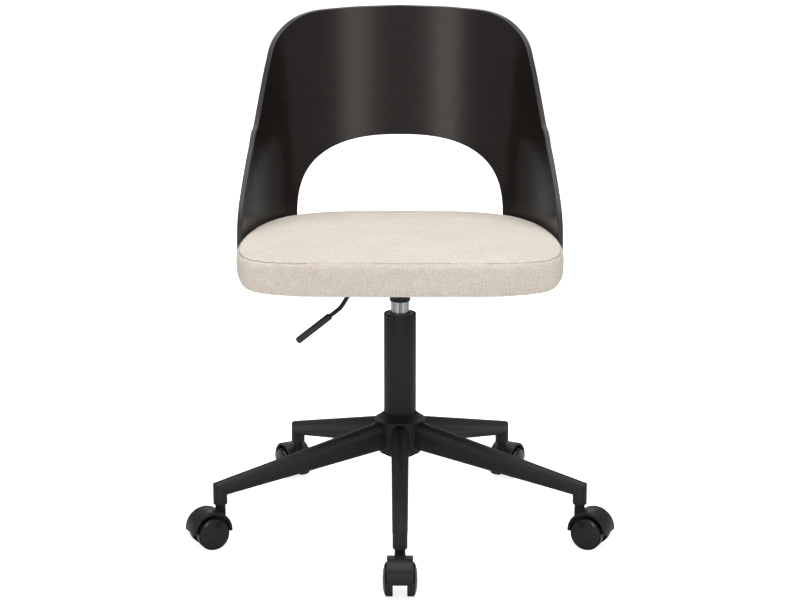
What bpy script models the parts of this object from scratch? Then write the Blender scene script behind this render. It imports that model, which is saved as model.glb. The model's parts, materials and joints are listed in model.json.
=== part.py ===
"""Swivel office chair: bent plywood back, padded seat, gas lift with a hand lever, five twin-wheel casters.

Metres, +Z up, the sitter faces -Y. The finished chair stands on Z = 0 with its box centred on the origin.
Shapes are worked out about the column's own axis, and the whole chair is moved once at the end.
"""

import math

import bmesh
import bpy
import numpy as np
from mathutils import Matrix, Vector

# Running and seating gap between neighbouring solids.
GAP = 0.0003
# How far a drill or cutter runs past the face that it opens.
OVERRUN = 0.008

# Five-star base.
LEG_COUNT = 5
FRONT_LEG_DEG = -90.0
STEM_CIRCLE_RADIUS = 0.290
HUB_RADIUS = 0.0325
HUB_BOTTOM = 0.122
HUB_HEIGHT = 0.0518
HUB_EDGE = 0.002
COVER_RADIUS = 0.0395
COVER_SKIRT = 0.0028
COVER_HEIGHT = 0.0120
COVER_TUBE_CLEARANCE = 0.0007
COVER_LIP = 0.0008
LEG_ROOT_HEIGHT = 0.0464
LEG_ROOT_DROP = 0.0008
LEG_ROOT_HALF_WIDTH = 0.0140
LEG_TIP_TOP = 0.0986
LEG_TIP_HEIGHT = 0.0242
LEG_ROUNDNESS = 2.35
LEG_WALL = 0.0018
SOCKET_RADIUS = 0.011
SOCKET_BOTTOM = 0.065
SOCKET_EDGE = 0.0012
LEG_OVERLAP = 0.0015

# Column and gas lift, drawn at its lowest.
TUBE_RADIUS = 0.025
TUBE_WALL = 0.002
TUBE_TOP = 0.3455
TUBE_BELOW_HUB = 0.004
TUBE_RIM = 0.0007
END_PLATE = 0.003
SLEEVE_LENGTH = 0.080
SLEEVE_SINK = 0.0008
BEARING_RADIUS = 0.012
BEARING_HEIGHT = 0.008
ROD_RADIUS = 0.005
ROD_GROOVE = 0.001
ROD_TAIL = 0.0025
ROD_SHOULDER_RADIUS = 0.008
ROD_SHOULDER_HEIGHT = 0.003
CLIP_RADIUS = 0.010
CLIP_THICKNESS = 0.003
CLIP_MOUTH_DEG = 50.0
PISTON_LENGTH = 0.012
PISTON_HEADROOM = 0.0055
CYLINDER_RADIUS = 0.014
CYLINDER_WALL = 0.002
CYLINDER_ABOVE_SHOULDER = 0.0024
CYLINDER_TOP = 0.3985
CYLINDER_TAPER = 0.0009
GLAND_LENGTH = 0.012
GLAND_SINK = 0.001
VALVE_WALL = 0.009
VALVE_DEPTH = 0.014
VALVE_BUTTON_RADIUS = 0.0028
VALVE_BUTTON_PROUD = 0.0049
VALVE_TRAVEL_ROOM = 0.0045

# Seat mechanism.
TAPER_SOCKET_RADIUS = 0.0163
TAPER_SOCKET_BOTTOM = 0.3646
TAPER_SOCKET_ABOVE_FLOOR = 0.0055
HOUSING_HALF_LENGTH = 0.0505
HOUSING_HALF_WIDTH = 0.030
HOUSING_HEIGHT = 0.0297
HOUSING_WALL = 0.0025
PLATE_HALF_X = 0.085
PLATE_HALF_Y = 0.080
PLATE_THICKNESS = 0.003
PLATE_CORNER = 0.012
SCREW_X = 0.070
SCREW_Y = 0.062
SCREW_RADIUS = 0.003
SCREW_HEAD_RADIUS = 0.0055
SCREW_HEAD_HEIGHT = 0.003
SCREW_BITE = 0.013
SCREW_TIP_ROOM = 0.0015

# Hand lever, in the plane Y = 0 on the viewer's left.
LEVER_RADIUS = 0.0035
LEVER_PIVOT_X = -0.028
LEVER_OVER_BUTTON = 0.0008
LEVER_TOP_BEND_X = -0.0581
LEVER_LOW_BEND_X = -0.0918
LEVER_LOW_BEND_Z = 0.353
LEVER_TIP_X = -0.160
LEVER_TIP_Z = 0.299
LEVER_TOP_BEND_RADIUS = 0.010
LEVER_LOW_BEND_RADIUS = 0.026
LEVER_SWING_DEG = 6.5
LEVER_PIN_RADIUS = 0.0015
GRIP_RADIUS = 0.0056
GRIP_LENGTH = 0.066
GRIP_END_WALL = 0.003
GRIP_END_ROUND = 0.0030
LEVER_SLOT_ROOM = 0.0009

# Seat.
SEAT_HALF_WIDTH = 0.246
SEAT_REAR_TAPER = 0.14
SEAT_TAPER_START = -0.35
SEAT_TAPER_END = 1.05
SEAT_HALF_DEPTH = 0.219
SEAT_CENTRE_Y = 0.0035
SEAT_FRONT_SQUARENESS = 6.0
SEAT_REAR_SQUARENESS = 3.4
BOARD_BOTTOM = 0.4203
BOARD_THICKNESS = 0.018
BOARD_INSET = 0.012
DUST_COVER_THICKNESS = 0.001
DUST_COVER_INSET = 0.028
CUSHION_BOTTOM = 0.4194
CUSHION_SEAM_Z = 0.4712
CUSHION_SEAM_INSET = 0.0056
CUSHION_SEAM_DEPTH = 0.0009
CUSHION_LOWER_ROUND = 0.0145
CUSHION_UPPER_ROUND = 0.011
CUSHION_CROWN = 0.0092
CUSHION_CROWN_POWER = 3.2
CUSHION_REAR_FALL = 0.0088
# Where the rings of points lie: up the drawn-in side to the seam, then from the seam in to the middle.
CUSHION_UPPER_SHARES = (0.0, 0.45, 0.8)
CUSHION_TOP_SHARES = (0.965, 0.90, 0.76, 0.52, 0.26)
RECESS_CLEARANCE = 0.0010

# Back shell.
SHELL_THICKNESS = 0.0086
SHELL_CUSHION_GAP = 0.0015
SHELL_BOTTOM = 0.4195
SHELL_TOP = 0.7887
SHELL_LEAN_DEG = 10.0
SHELL_LEAN_FROM = 0.450
SHELL_LEAN_EASE = 0.020
SHELL_TOP_FALL = 0.0088
SHELL_TOP_HALF_SPAN = 0.2045
SHELL_TOP_CORNER = 0.120
SHELL_WAIST_HALF_SPAN = 0.2784
SHELL_WAIST_Z = 0.6205
SHELL_WAIST_RADIUS = 0.37
SHELL_WING_HALF_SPAN = 0.3820
SHELL_WING_Z = 0.4900
SHELL_WING_RADIUS = 0.08
SHELL_TIP_RADIUS = 0.014
SHELL_EDGE_ROUND = 0.0012
ARCH_HALF_SPAN = 0.1712
ARCH_SPRING_Z = 0.460
ARCH_RISE = 0.1230
ARCH_SQUARENESS = 2.5

# Bolts that hold the wings to the seat board.
BOLT_SPANS = (0.262, 0.322)
BOLT_Z = 0.4325
BOLT_RADIUS = 0.003
BOLT_HEAD_RADIUS = 0.0065
BOLT_HEAD_HEIGHT = 0.0023
BOLT_BITE = 0.020
BOLT_TIP_ROOM = 0.001

# Casters. Headings are the directions in which they trail, anticlockwise from +X, as in the photograph.
CASTER_HEADINGS_DEG = (270.0, 333.0, 61.0, 119.0, 207.0)
CASTER_TRAIL = 0.0195
WHEEL_RADIUS = 0.025
WHEEL_INNER_FACE = 0.0104
WHEEL_TREAD_EDGE = 0.0195
WHEEL_DOME = 0.0060
HOOD_RADIUS = 0.0313
HOOD_ABOVE_AXLE = 0.0031
HOOD_WALL = 0.0040
HOOD_HALF_WIDTH = 0.019
HOOD_EDGE = 0.0009
HOOD_FRONT_DEG = -3.0
HOOD_REAR_DEG = 183.0
HOOD_BOSS_FROM_DEG = 205.0
HOOD_BOSS_TO_DEG = 335.0
WEB_CLEARANCE = 0.0004
AXLE_RADIUS = 0.003
AXLE_BOSS_RADIUS = 0.0066
AXLE_HALF_LENGTH = 0.0205
NECK_RADIUS = 0.0082
NECK_FOOT = 0.027
NECK_TOP = 0.0580
STEM_RADIUS = 0.0055
STEM_FOOT = 0.0335
STEM_TOP = 0.0885
STEM_COLLAR_RADIUS = 0.0080
STEM_ROOF = 0.001

# Facets round each kind of piece.
COLUMN_SEGMENTS = 28
SMALL_SEGMENTS = 12
WHEEL_SEGMENTS = 24
LEG_SEGMENTS = 20
SEAT_SEGMENTS = 56
SHELL_SEGMENTS = 60
SHELL_BANDS = 6
DOME_STEPS = 4
HEAD_STEPS = 2
PLATE_CORNER_STEPS = 5
LEVER_BEND_STEPS = 5
HOOD_STEPS = 14
HOOD_BOSS_STEPS = 4
CUSHION_LOWER_STEPS = 3
SHELL_CORNER_STEPS = 24
ARCH_STEPS = 48
OUTLINE_SAMPLES = 4000
SMOOTH_ANGLE_DEG = 35.0
SHELL_SHARP_DEG = 60.0

# Heights that follow from the sizes above.
WHEEL_AXIS_Z = WHEEL_RADIUS
HOOD_AXIS_Z = WHEEL_AXIS_Z + HOOD_ABOVE_AXLE
HUB_TOP = HUB_BOTTOM + HUB_HEIGHT
TUBE_BOTTOM = HUB_BOTTOM - TUBE_BELOW_HUB
TUBE_BORE = TUBE_RADIUS - TUBE_WALL
BEARING_BOTTOM = TUBE_BOTTOM + END_PLATE + GAP
BEARING_TOP = BEARING_BOTTOM + BEARING_HEIGHT
SHOULDER_BOTTOM = BEARING_TOP + GAP
SHOULDER_TOP = SHOULDER_BOTTOM + ROD_SHOULDER_HEIGHT
CLIP_TOP = TUBE_BOTTOM - GAP
CLIP_BOTTOM = CLIP_TOP - CLIP_THICKNESS
CYLINDER_BOTTOM = SHOULDER_TOP + CYLINDER_ABOVE_SHOULDER
CYLINDER_BORE = CYLINDER_RADIUS - CYLINDER_WALL
CYLINDER_ROOF = CYLINDER_TOP - VALVE_DEPTH - VALVE_WALL
PISTON_TOP = CYLINDER_ROOF - PISTON_HEADROOM
BUTTON_TOP = CYLINDER_TOP + VALVE_BUTTON_PROUD
LEVER_Z = BUTTON_TOP + GAP + LEVER_RADIUS
BOARD_TOP = BOARD_BOTTOM + BOARD_THICKNESS
DUST_COVER_TOP = BOARD_BOTTOM - GAP
DUST_COVER_BOTTOM = DUST_COVER_TOP - DUST_COVER_THICKNESS
PLATE_TOP = DUST_COVER_BOTTOM - GAP
PLATE_BOTTOM = PLATE_TOP - PLATE_THICKNESS
HOUSING_TOP = PLATE_BOTTOM - GAP
HOUSING_BOTTOM = HOUSING_TOP - HOUSING_HEIGHT
HOUSING_FLOOR_TOP = HOUSING_BOTTOM + HOUSING_WALL
TAPER_SOCKET_TOP = HOUSING_FLOOR_TOP + TAPER_SOCKET_ABOVE_FLOOR
WEB_HALF_WIDTH = WHEEL_INNER_FACE - WEB_CLEARANCE


# Meshes.


def mesh_from(points, faces):
    """A mesh with its normals turned outwards."""
    mesh = bpy.data.meshes.new("shape")
    corners = [tuple(map(float, point)) for point in points]
    mesh.from_pydata(corners, [], [list(map(int, face)) for face in faces])
    shape = bmesh.new()
    shape.from_mesh(mesh)
    bmesh.ops.recalc_face_normals(shape, faces=shape.faces)
    shape.to_mesh(mesh)
    shape.free()
    return mesh


def ring_strip(first, second, count):
    """Quads between two closed rings, given the index of each ring's first point."""
    return [(first + i, first + (i + 1) % count, second + (i + 1) % count, second + i) for i in range(count)]


def turned(profile, segments):
    """Turns a closed (radius, height) loop about Z. A point of radius 0 becomes one point on the axis."""
    points, rows = [], []
    for radius, height in profile:
        rows.append((len(points), 1 if radius == 0 else segments))
        if radius == 0:
            points.append((0.0, 0.0, height))
            continue
        for i in range(segments):
            angle = 2 * math.pi * i / segments
            points.append((radius * math.cos(angle), radius * math.sin(angle), height))
    faces = []
    for (a, a_count), (b, b_count) in zip(rows, rows[1:] + rows[:1]):
        if a_count == 1 and b_count == 1:
            continue
        if a_count == 1:
            faces += [(a, b + i, b + (i + 1) % segments) for i in range(segments)]
        elif b_count == 1:
            faces += [(a + i, a + (i + 1) % segments, b) for i in range(segments)]
        else:
            faces += ring_strip(a, b, segments)
    return mesh_from(points, faces)


def lofted(rings):
    """Joins equal rings in order and closes both ends with a flat face."""
    count = len(rings[0])
    points = [point for ring in rings for point in ring]
    faces = []
    for i in range(len(rings) - 1):
        faces += ring_strip(i * count, (i + 1) * count, count)
    faces.append(tuple(range(count)))
    faces.append(tuple(range((len(rings) - 1) * count, len(rings) * count)))
    return mesh_from(points, faces)


def box(low, high):
    """A box between two corners."""
    (x0, y0, z0), (x1, y1, z1) = low, high
    ring = [(x0, y0), (x1, y0), (x1, y1), (x0, y1)]
    return lofted([[(x, y, z0) for x, y in ring], [(x, y, z1) for x, y in ring]])


def extruded(outline, bottom, top):
    """A flat (x, y) outline raised from one height to another."""
    return lofted([[(x, y, z) for x, y in outline] for z in (bottom, top)])


def rod_profile(radius, bottom, top):
    """The loop of a plain solid cylinder."""
    return [(0, bottom), (radius, bottom), (radius, top), (0, top)]


def dome(radius, base, rise, steps):
    """The loop points of a quarter oval, from its rim at the base up to the axis."""
    points = []
    for i in range(steps):
        angle = math.pi / 2 * i / steps
        points.append((radius * math.cos(angle), base + rise * math.sin(angle)))
    return points + [(0, base + rise)]


def arc(centre, radius, start_deg, end_deg, steps):
    """Points on a flat arc, both ends included."""
    angles = np.radians(np.linspace(start_deg, end_deg, steps + 1))
    return [(centre[0] + radius * math.cos(a), centre[1] + radius * math.sin(a)) for a in angles]


def rounded_corner(before, corner, after, radius, steps):
    """The arc that rounds one corner of a flat path."""
    corner = np.array(corner, float)
    to_before = np.array(before, float) - corner
    to_after = np.array(after, float) - corner
    to_before /= np.linalg.norm(to_before)
    to_after /= np.linalg.norm(to_after)
    half = math.acos(float(np.clip(to_before @ to_after, -1, 1))) / 2
    setback = radius / math.tan(half)
    middle = (to_before + to_after) / np.linalg.norm(to_before + to_after)
    centre = corner + middle * radius / math.sin(half)
    start = corner + to_before * setback - centre
    end = corner + to_after * setback - centre
    sweep = math.atan2(start[0] * end[1] - start[1] * end[0], start @ end)
    points = []
    for i in range(steps + 1):
        angle = sweep * i / steps
        turn = np.array([[math.cos(angle), -math.sin(angle)], [math.sin(angle), math.cos(angle)]])
        points.append(tuple(centre + turn @ start))
    return points


def swept(path, radius, segments):
    """A round bar along a path that stays in the plane Y = 0."""
    path = np.array(path, float)
    steps = np.diff(path, axis=0)
    steps /= np.linalg.norm(steps, axis=1)[:, None]
    rings = []
    for i, point in enumerate(path):
        before = steps[max(i - 1, 0)]
        after = steps[min(i, len(steps) - 1)]
        along = (before + after) / np.linalg.norm(before + after)
        side = np.array([0.0, 1.0, 0.0])
        up = np.cross(along, side)
        reach = radius / math.sqrt((1 + float(before @ after)) / 2)
        ring = []
        for k in range(segments):
            angle = 2 * math.pi * k / segments
            ring.append(point + radius * math.cos(angle) * side + reach * math.sin(angle) * up)
        rings.append(ring)
    return lofted(rings)


# Objects.


def material(name, colour, roughness, metallic=0.0):
    """A plain Principled material, made once per name."""
    found = bpy.data.materials.get(name)
    if found:
        return found
    made = bpy.data.materials.new(name)
    made.use_nodes = True
    shader = made.node_tree.nodes["Principled BSDF"]
    shader.inputs["Base Color"].default_value = (*colour, 1.0)
    shader.inputs["Roughness"].default_value = roughness
    shader.inputs["Metallic"].default_value = metallic
    made.diffuse_color = (*colour, 1.0)
    return made


def black_steel():
    return material("black_powder_coat", (0.020, 0.020, 0.021), 0.42, 0.0)


def black_nylon():
    return material("black_nylon", (0.016, 0.016, 0.017), 0.45)


def chrome():
    return material("chromed_steel", (0.62, 0.63, 0.64), 0.12, 1.0)


def bright_steel():
    return material("zinc_plated_steel", (0.50, 0.50, 0.49), 0.35, 1.0)


def grey_plastic():
    return material("grey_acetal", (0.45, 0.45, 0.44), 0.5)


def black_ply():
    return material("black_stained_plywood", (0.017, 0.014, 0.013), 0.32)


def linen():
    return material("oatmeal_linen", (0.72, 0.65, 0.56), 0.92)


def bare_ply():
    return material("birch_plywood", (0.55, 0.40, 0.25), 0.7)


def black_cloth():
    return material("black_backing_cloth", (0.02, 0.02, 0.02), 0.95)


def node(name, mesh, surface):
    """A named solid in its material, smooth except across sharp edges."""
    piece = bpy.data.objects.new(name, mesh)
    mesh.name = name
    bpy.context.scene.collection.objects.link(piece)
    mesh.materials.clear()
    mesh.materials.append(surface)
    mesh.polygons.foreach_set("material_index", [0] * len(mesh.polygons))
    mesh.shade_smooth()
    mesh.set_sharp_from_angle(angle=math.radians(SMOOTH_ANGLE_DEG))
    return piece


def combined(mesh, tools, operation):
    """The mesh after a Boolean with each tool mesh in turn."""
    for tool in tools:
        body = bpy.data.objects.new("body", mesh)
        cutter = bpy.data.objects.new("tool", tool)
        bpy.context.scene.collection.objects.link(body)
        bpy.context.scene.collection.objects.link(cutter)
        change = body.modifiers.new("change", "BOOLEAN")
        change.operation = operation
        change.solver = "EXACT"
        change.object = cutter
        graph = bpy.context.evaluated_depsgraph_get()
        mesh = bpy.data.meshes.new_from_object(body.evaluated_get(graph))
        bpy.data.objects.remove(body)
        bpy.data.objects.remove(cutter)
    return mesh


def cut(mesh, tools):
    return combined(mesh, tools, "DIFFERENCE")


def joined(mesh, tools):
    return combined(mesh, tools, "UNION")


def moved(mesh, matrix):
    """The same mesh carried by a matrix."""
    mesh.transform(matrix)
    return mesh


def set_origin(piece, point):
    """Puts the piece's own origin on its joint's axis, leaving its surface where it is."""
    piece.data.transform(Matrix.Translation(-Vector(point)))
    piece.location = point


# Base and column.


def hub_bore():
    return TUBE_RADIUS + GAP


def make_hub():
    profile = [
        (hub_bore(), HUB_BOTTOM),
        (HUB_RADIUS - HUB_EDGE, HUB_BOTTOM),
        (HUB_RADIUS, HUB_BOTTOM + HUB_EDGE),
        (HUB_RADIUS, HUB_TOP),
        (hub_bore(), HUB_TOP),
    ]
    return node("base_hub", turned(profile, COLUMN_SEGMENTS), black_steel())


def make_hub_cover():
    bottom = HUB_TOP + GAP
    bore = TUBE_RADIUS + COVER_TUBE_CLEARANCE
    crown = bore + COVER_LIP
    rise = COVER_HEIGHT - COVER_SKIRT
    profile = [(bore, bottom), (COVER_RADIUS - LEG_ROOT_DROP, bottom)]
    curve = dome(COVER_RADIUS - crown, bottom + COVER_SKIRT, rise, DOME_STEPS)
    profile += [(crown + radius, height) for radius, height in curve]
    profile.append((bore, bottom + COVER_HEIGHT))
    return node("hub_cover", turned(profile, COLUMN_SEGMENTS), black_nylon())


def leg_top(reach):
    """Height of a leg's top line at a distance from the column's axis."""
    root = HUB_RADIUS + GAP
    tip = STEM_CIRCLE_RADIUS + SOCKET_RADIUS
    root_top = HUB_TOP - LEG_ROOT_DROP
    return root_top + (LEG_TIP_TOP - root_top) * (reach - root) / (tip - root)


def leg_depth(reach):
    root = HUB_RADIUS + GAP
    tip = STEM_CIRCLE_RADIUS
    return LEG_ROOT_HEIGHT + (LEG_TIP_HEIGHT - LEG_ROOT_HEIGHT) * (reach - root) / (tip - root)


def leg_half_width(reach):
    root = HUB_RADIUS + GAP
    end = SOCKET_RADIUS + GAP
    return LEG_ROOT_HALF_WIDTH + (end - LEG_ROOT_HALF_WIDTH) * (reach - root) / (STEM_CIRCLE_RADIUS - root)


def leg_ring(reach, hugging_hub, inset=0.0, segments=LEG_SEGMENTS):
    """One oval section of a leg, or of its hollow; the root's section follows the round hub."""
    middle = leg_top(reach) - leg_depth(reach) / 2
    half_width, half_depth = leg_half_width(reach) - inset, leg_depth(reach) / 2 - inset
    ring = []
    for i in range(segments):
        angle = 2 * math.pi * i / segments
        c, s = math.cos(angle), math.sin(angle)
        y = half_width * math.copysign(abs(c) ** (2 / LEG_ROUNDNESS), c)
        z = middle + half_depth * math.copysign(abs(s) ** (2 / LEG_ROUNDNESS), s)
        x = math.sqrt(reach**2 - y**2) if hugging_hub else reach
        ring.append((x, y, z))
    return ring


def socket_roof(x, y):
    """Height of the leg's own rounded top, carried on over the socket."""
    half_depth = leg_depth(STEM_CIRCLE_RADIUS) / 2
    share = min(abs(y) / (SOCKET_RADIUS + GAP), 1.0)
    return leg_top(x) - half_depth + half_depth * (1 - share**LEG_ROUNDNESS) ** (1 / LEG_ROUNDNESS) - GAP / 2


def socket_tube():
    """The upright tube at a leg's tip, mitred to the leg's top."""
    count = LEG_SEGMENTS
    angles = [2 * math.pi * (i + 0.5) / count for i in range(count)]
    rows = [(SOCKET_RADIUS - SOCKET_EDGE, SOCKET_BOTTOM), (SOCKET_RADIUS, SOCKET_BOTTOM + SOCKET_EDGE)]
    points = [(STEM_CIRCLE_RADIUS + r * math.cos(a), r * math.sin(a), z) for r, z in rows for a in angles]
    for a in angles:
        x, y = STEM_CIRCLE_RADIUS + SOCKET_RADIUS * math.cos(a), SOCKET_RADIUS * math.sin(a)
        points.append((x, y, socket_roof(x, y)))
    faces = ring_strip(0, count, count) + ring_strip(count, 2 * count, count) + [tuple(range(count))]
    top = 2 * count
    half = count // 2
    # Points with the same Y face each other across the tube, so straight strips close the roof.
    quarter = count // 4
    front = [(quarter - 1 - i) % count for i in range(half)]
    back = [(quarter + i) % count for i in range(half)]
    for i in range(half - 1):
        faces.append((top + front[i], top + front[i + 1], top + back[i + 1], top + back[i]))
    return mesh_from(points, faces)


def leg_bar():
    """The tapering bar between hub and socket, whose root face is curved to the hub."""
    root = HUB_RADIUS + GAP
    reaches = (root, root + LEG_ROOT_HALF_WIDTH, STEM_CIRCLE_RADIUS - LEG_OVERLAP)
    rings = [leg_ring(reach, i == 0) for i, reach in enumerate(reaches)]
    count = LEG_SEGMENTS
    points = [point for ring in rings for point in ring]
    faces = ring_strip(0, count, count) + ring_strip(count, 2 * count, count)
    faces.append(tuple(range(2 * count, 3 * count)))
    # The root's points above and below each other share their Y, so upright strips follow the hub.
    for i in range(count // 2):
        strip = [i, i + 1, count - i - 1, (count - i) % count]
        faces.append(tuple(dict.fromkeys(strip)))
    return mesh_from(points, faces)


def leg_hollow():
    """The inside of the leg's tube, open towards the hub and stopped short of the socket."""
    ends = (HUB_RADIUS - OVERRUN, STEM_CIRCLE_RADIUS - SOCKET_RADIUS - LEG_WALL)
    return lofted([leg_ring(reach, False, LEG_WALL, SMALL_SEGMENTS) for reach in ends])


def leg_mesh():
    bore = rod_profile(STEM_RADIUS + GAP, SOCKET_BOTTOM - OVERRUN, STEM_TOP + STEM_ROOF)
    stem_hole = turned(bore, SMALL_SEGMENTS)
    stem_hole = moved(stem_hole, Matrix.Translation((STEM_CIRCLE_RADIUS, 0, 0)))
    return cut(joined(leg_bar(), [socket_tube()]), [stem_hole, leg_hollow()])


def leg_angle(index):
    return math.radians(FRONT_LEG_DEG + 360 * index / LEG_COUNT)


def make_legs():
    pattern = leg_mesh()
    for i in range(LEG_COUNT):
        turn = Matrix.Rotation(leg_angle(i), 4, "Z")
        node(f"base_leg_{i + 1}", moved(pattern.copy(), turn), black_steel())


def make_column_tube():
    profile = [
        (ROD_RADIUS + GAP, TUBE_BOTTOM),
        (TUBE_RADIUS, TUBE_BOTTOM),
        (TUBE_RADIUS, TUBE_TOP - TUBE_RIM),
        (TUBE_RADIUS - TUBE_RIM, TUBE_TOP),
        (TUBE_BORE + TUBE_RIM / 2, TUBE_TOP),
        (TUBE_BORE, TUBE_TOP - TUBE_RIM / 2),
        (TUBE_BORE, TUBE_BOTTOM + END_PLATE),
        (ROD_RADIUS + GAP, TUBE_BOTTOM + END_PLATE),
    ]
    return node("column_tube", turned(profile, COLUMN_SEGMENTS), black_steel())


def ring_profile(inner, outer, bottom, top):
    return [(inner, bottom), (outer, bottom), (outer, top), (inner, top)]


def make_guide_sleeve():
    top = TUBE_TOP - SLEEVE_SINK
    profile = ring_profile(CYLINDER_RADIUS + GAP, TUBE_BORE - GAP, top - SLEEVE_LENGTH, top)
    return node("guide_sleeve", turned(profile, COLUMN_SEGMENTS), grey_plastic())


def make_thrust_bearing():
    profile = ring_profile(ROD_RADIUS + GAP, BEARING_RADIUS, BEARING_BOTTOM, BEARING_TOP)
    return node("thrust_bearing", turned(profile, SMALL_SEGMENTS), bright_steel())


# Gas lift.


def make_piston_rod():
    groove = ROD_RADIUS - ROD_GROOVE
    piston = CYLINDER_BORE - GAP
    profile = [
        (0, CLIP_BOTTOM - GAP - ROD_TAIL),
        (ROD_RADIUS, CLIP_BOTTOM - GAP - ROD_TAIL),
        (ROD_RADIUS, CLIP_BOTTOM - GAP),
        (groove, CLIP_BOTTOM - GAP),
        (groove, CLIP_TOP + GAP),
        (ROD_RADIUS, CLIP_TOP + GAP),
        (ROD_RADIUS, SHOULDER_BOTTOM),
        (ROD_SHOULDER_RADIUS, SHOULDER_BOTTOM),
        (ROD_SHOULDER_RADIUS, SHOULDER_TOP),
        (ROD_RADIUS, SHOULDER_TOP),
        (ROD_RADIUS, PISTON_TOP - PISTON_LENGTH),
        (piston, PISTON_TOP - PISTON_LENGTH),
        (piston, PISTON_TOP),
        (0, PISTON_TOP),
    ]
    rod = node("piston_rod", turned(profile, SMALL_SEGMENTS), chrome())
    set_origin(rod, (0, 0, BEARING_TOP))
    return rod


def make_rod_clip():
    """An open ring pushed sideways into the rod's groove."""
    half_mouth = CLIP_MOUTH_DEG / 2
    inner = ROD_RADIUS - ROD_GROOVE + GAP
    outline = arc((0, 0), CLIP_RADIUS, half_mouth, 360 - half_mouth, SMALL_SEGMENTS)
    outline += arc((0, 0), inner, 360 - half_mouth, half_mouth, SMALL_SEGMENTS)
    clip = node("rod_clip", extruded(outline, CLIP_BOTTOM, CLIP_TOP), bright_steel())
    set_origin(clip, (0, 0, BEARING_TOP))
    return clip


def make_gas_cylinder():
    neck = CYLINDER_RADIUS - CYLINDER_TAPER
    valve = VALVE_BUTTON_RADIUS + GAP
    profile = [
        (CYLINDER_BORE, CYLINDER_BOTTOM),
        (CYLINDER_RADIUS, CYLINDER_BOTTOM),
        (CYLINDER_RADIUS, TAPER_SOCKET_BOTTOM),
        (neck, CYLINDER_TOP),
        (valve, CYLINDER_TOP),
        (valve, CYLINDER_TOP - VALVE_DEPTH),
        (0, CYLINDER_TOP - VALVE_DEPTH),
        (0, CYLINDER_ROOF),
        (CYLINDER_BORE, CYLINDER_ROOF),
    ]
    return node("gas_cylinder", turned(profile, COLUMN_SEGMENTS), chrome())


def make_rod_gland():
    bottom = CYLINDER_BOTTOM + GLAND_SINK
    profile = ring_profile(ROD_RADIUS + GAP, CYLINDER_BORE - GAP, bottom, bottom + GLAND_LENGTH)
    return node("rod_gland", turned(profile, SMALL_SEGMENTS), grey_plastic())


def make_valve_button():
    bottom = CYLINDER_TOP - VALVE_DEPTH + VALVE_TRAVEL_ROOM
    shape = turned(rod_profile(VALVE_BUTTON_RADIUS, bottom, BUTTON_TOP), SMALL_SEGMENTS)
    button = node("valve_button", shape, bright_steel())
    set_origin(button, (0, 0, BUTTON_TOP))
    return button


# Seat mechanism.


def cylinder_radius_at(height):
    share = (height - TAPER_SOCKET_BOTTOM) / (CYLINDER_TOP - TAPER_SOCKET_BOTTOM)
    return CYLINDER_RADIUS - CYLINDER_TAPER * share


def make_taper_socket():
    profile = [
        (cylinder_radius_at(TAPER_SOCKET_BOTTOM) + GAP, TAPER_SOCKET_BOTTOM),
        (TAPER_SOCKET_RADIUS, TAPER_SOCKET_BOTTOM),
        (TAPER_SOCKET_RADIUS, TAPER_SOCKET_TOP),
        (cylinder_radius_at(TAPER_SOCKET_TOP) + GAP, TAPER_SOCKET_TOP),
    ]
    return node("taper_socket", turned(profile, COLUMN_SEGMENTS), black_steel())


def across_hole(x, z, radius, half_length):
    """A round cutter along Y."""
    cutter = turned(rod_profile(radius, -half_length, half_length), SMALL_SEGMENTS)
    return moved(cutter, Matrix.Translation((x, 0, z)) @ Matrix.Rotation(math.pi / 2, 4, "X"))


def make_lift_housing():
    """An open-topped channel under the seat plate that holds the socket and the lever's pivot."""
    x, y, wall = HOUSING_HALF_LENGTH, HOUSING_HALF_WIDTH, HOUSING_WALL
    outer = box((-x, -y, HOUSING_BOTTOM), (x, y, HOUSING_TOP))
    hollow = box((wall - x, wall - y, HOUSING_FLOOR_TOP), (x - wall, y - wall, HOUSING_TOP + wall))
    floor_hole = turned(
        rod_profile(TAPER_SOCKET_RADIUS + GAP, HOUSING_BOTTOM - wall, HOUSING_FLOOR_TOP + wall), COLUMN_SEGMENTS
    )
    rise = (HOUSING_HALF_LENGTH + LEVER_PIVOT_X) * math.sin(math.radians(LEVER_SWING_DEG))
    side = LEVER_RADIUS + LEVER_SLOT_ROOM
    slot = box((-x - wall, -side, LEVER_Z - side), (wall / 2 - x + wall, side, LEVER_Z + side + rise))
    pin_hole = across_hole(LEVER_PIVOT_X, LEVER_Z, LEVER_PIN_RADIUS + GAP, y + wall)
    return node("lift_housing", cut(outer, [hollow, floor_hole, slot, pin_hole]), black_steel())


def screw_places():
    return [(x, y) for x in (-SCREW_X, SCREW_X) for y in (-SCREW_Y, SCREW_Y)]


def screw_holes(radius, bottom, top):
    holes = []
    for x, y in screw_places():
        hole = turned(rod_profile(radius, bottom, top), SMALL_SEGMENTS)
        holes.append(moved(hole, Matrix.Translation((x, y, 0))))
    return holes


def make_seat_plate():
    x, y = PLATE_HALF_X, PLATE_HALF_Y
    corners = [(x, y), (-x, y), (-x, -y), (x, -y)]
    outline = []
    for i, corner in enumerate(corners):
        outline += rounded_corner(corners[i - 1], corner, corners[(i + 1) % 4], PLATE_CORNER, PLATE_CORNER_STEPS)
    plate = extruded(outline, PLATE_BOTTOM, PLATE_TOP)
    holes = screw_holes(SCREW_RADIUS + GAP, PLATE_BOTTOM - PLATE_THICKNESS, PLATE_TOP + PLATE_THICKNESS)
    return node("seat_plate", cut(plate, holes), black_steel())


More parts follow.
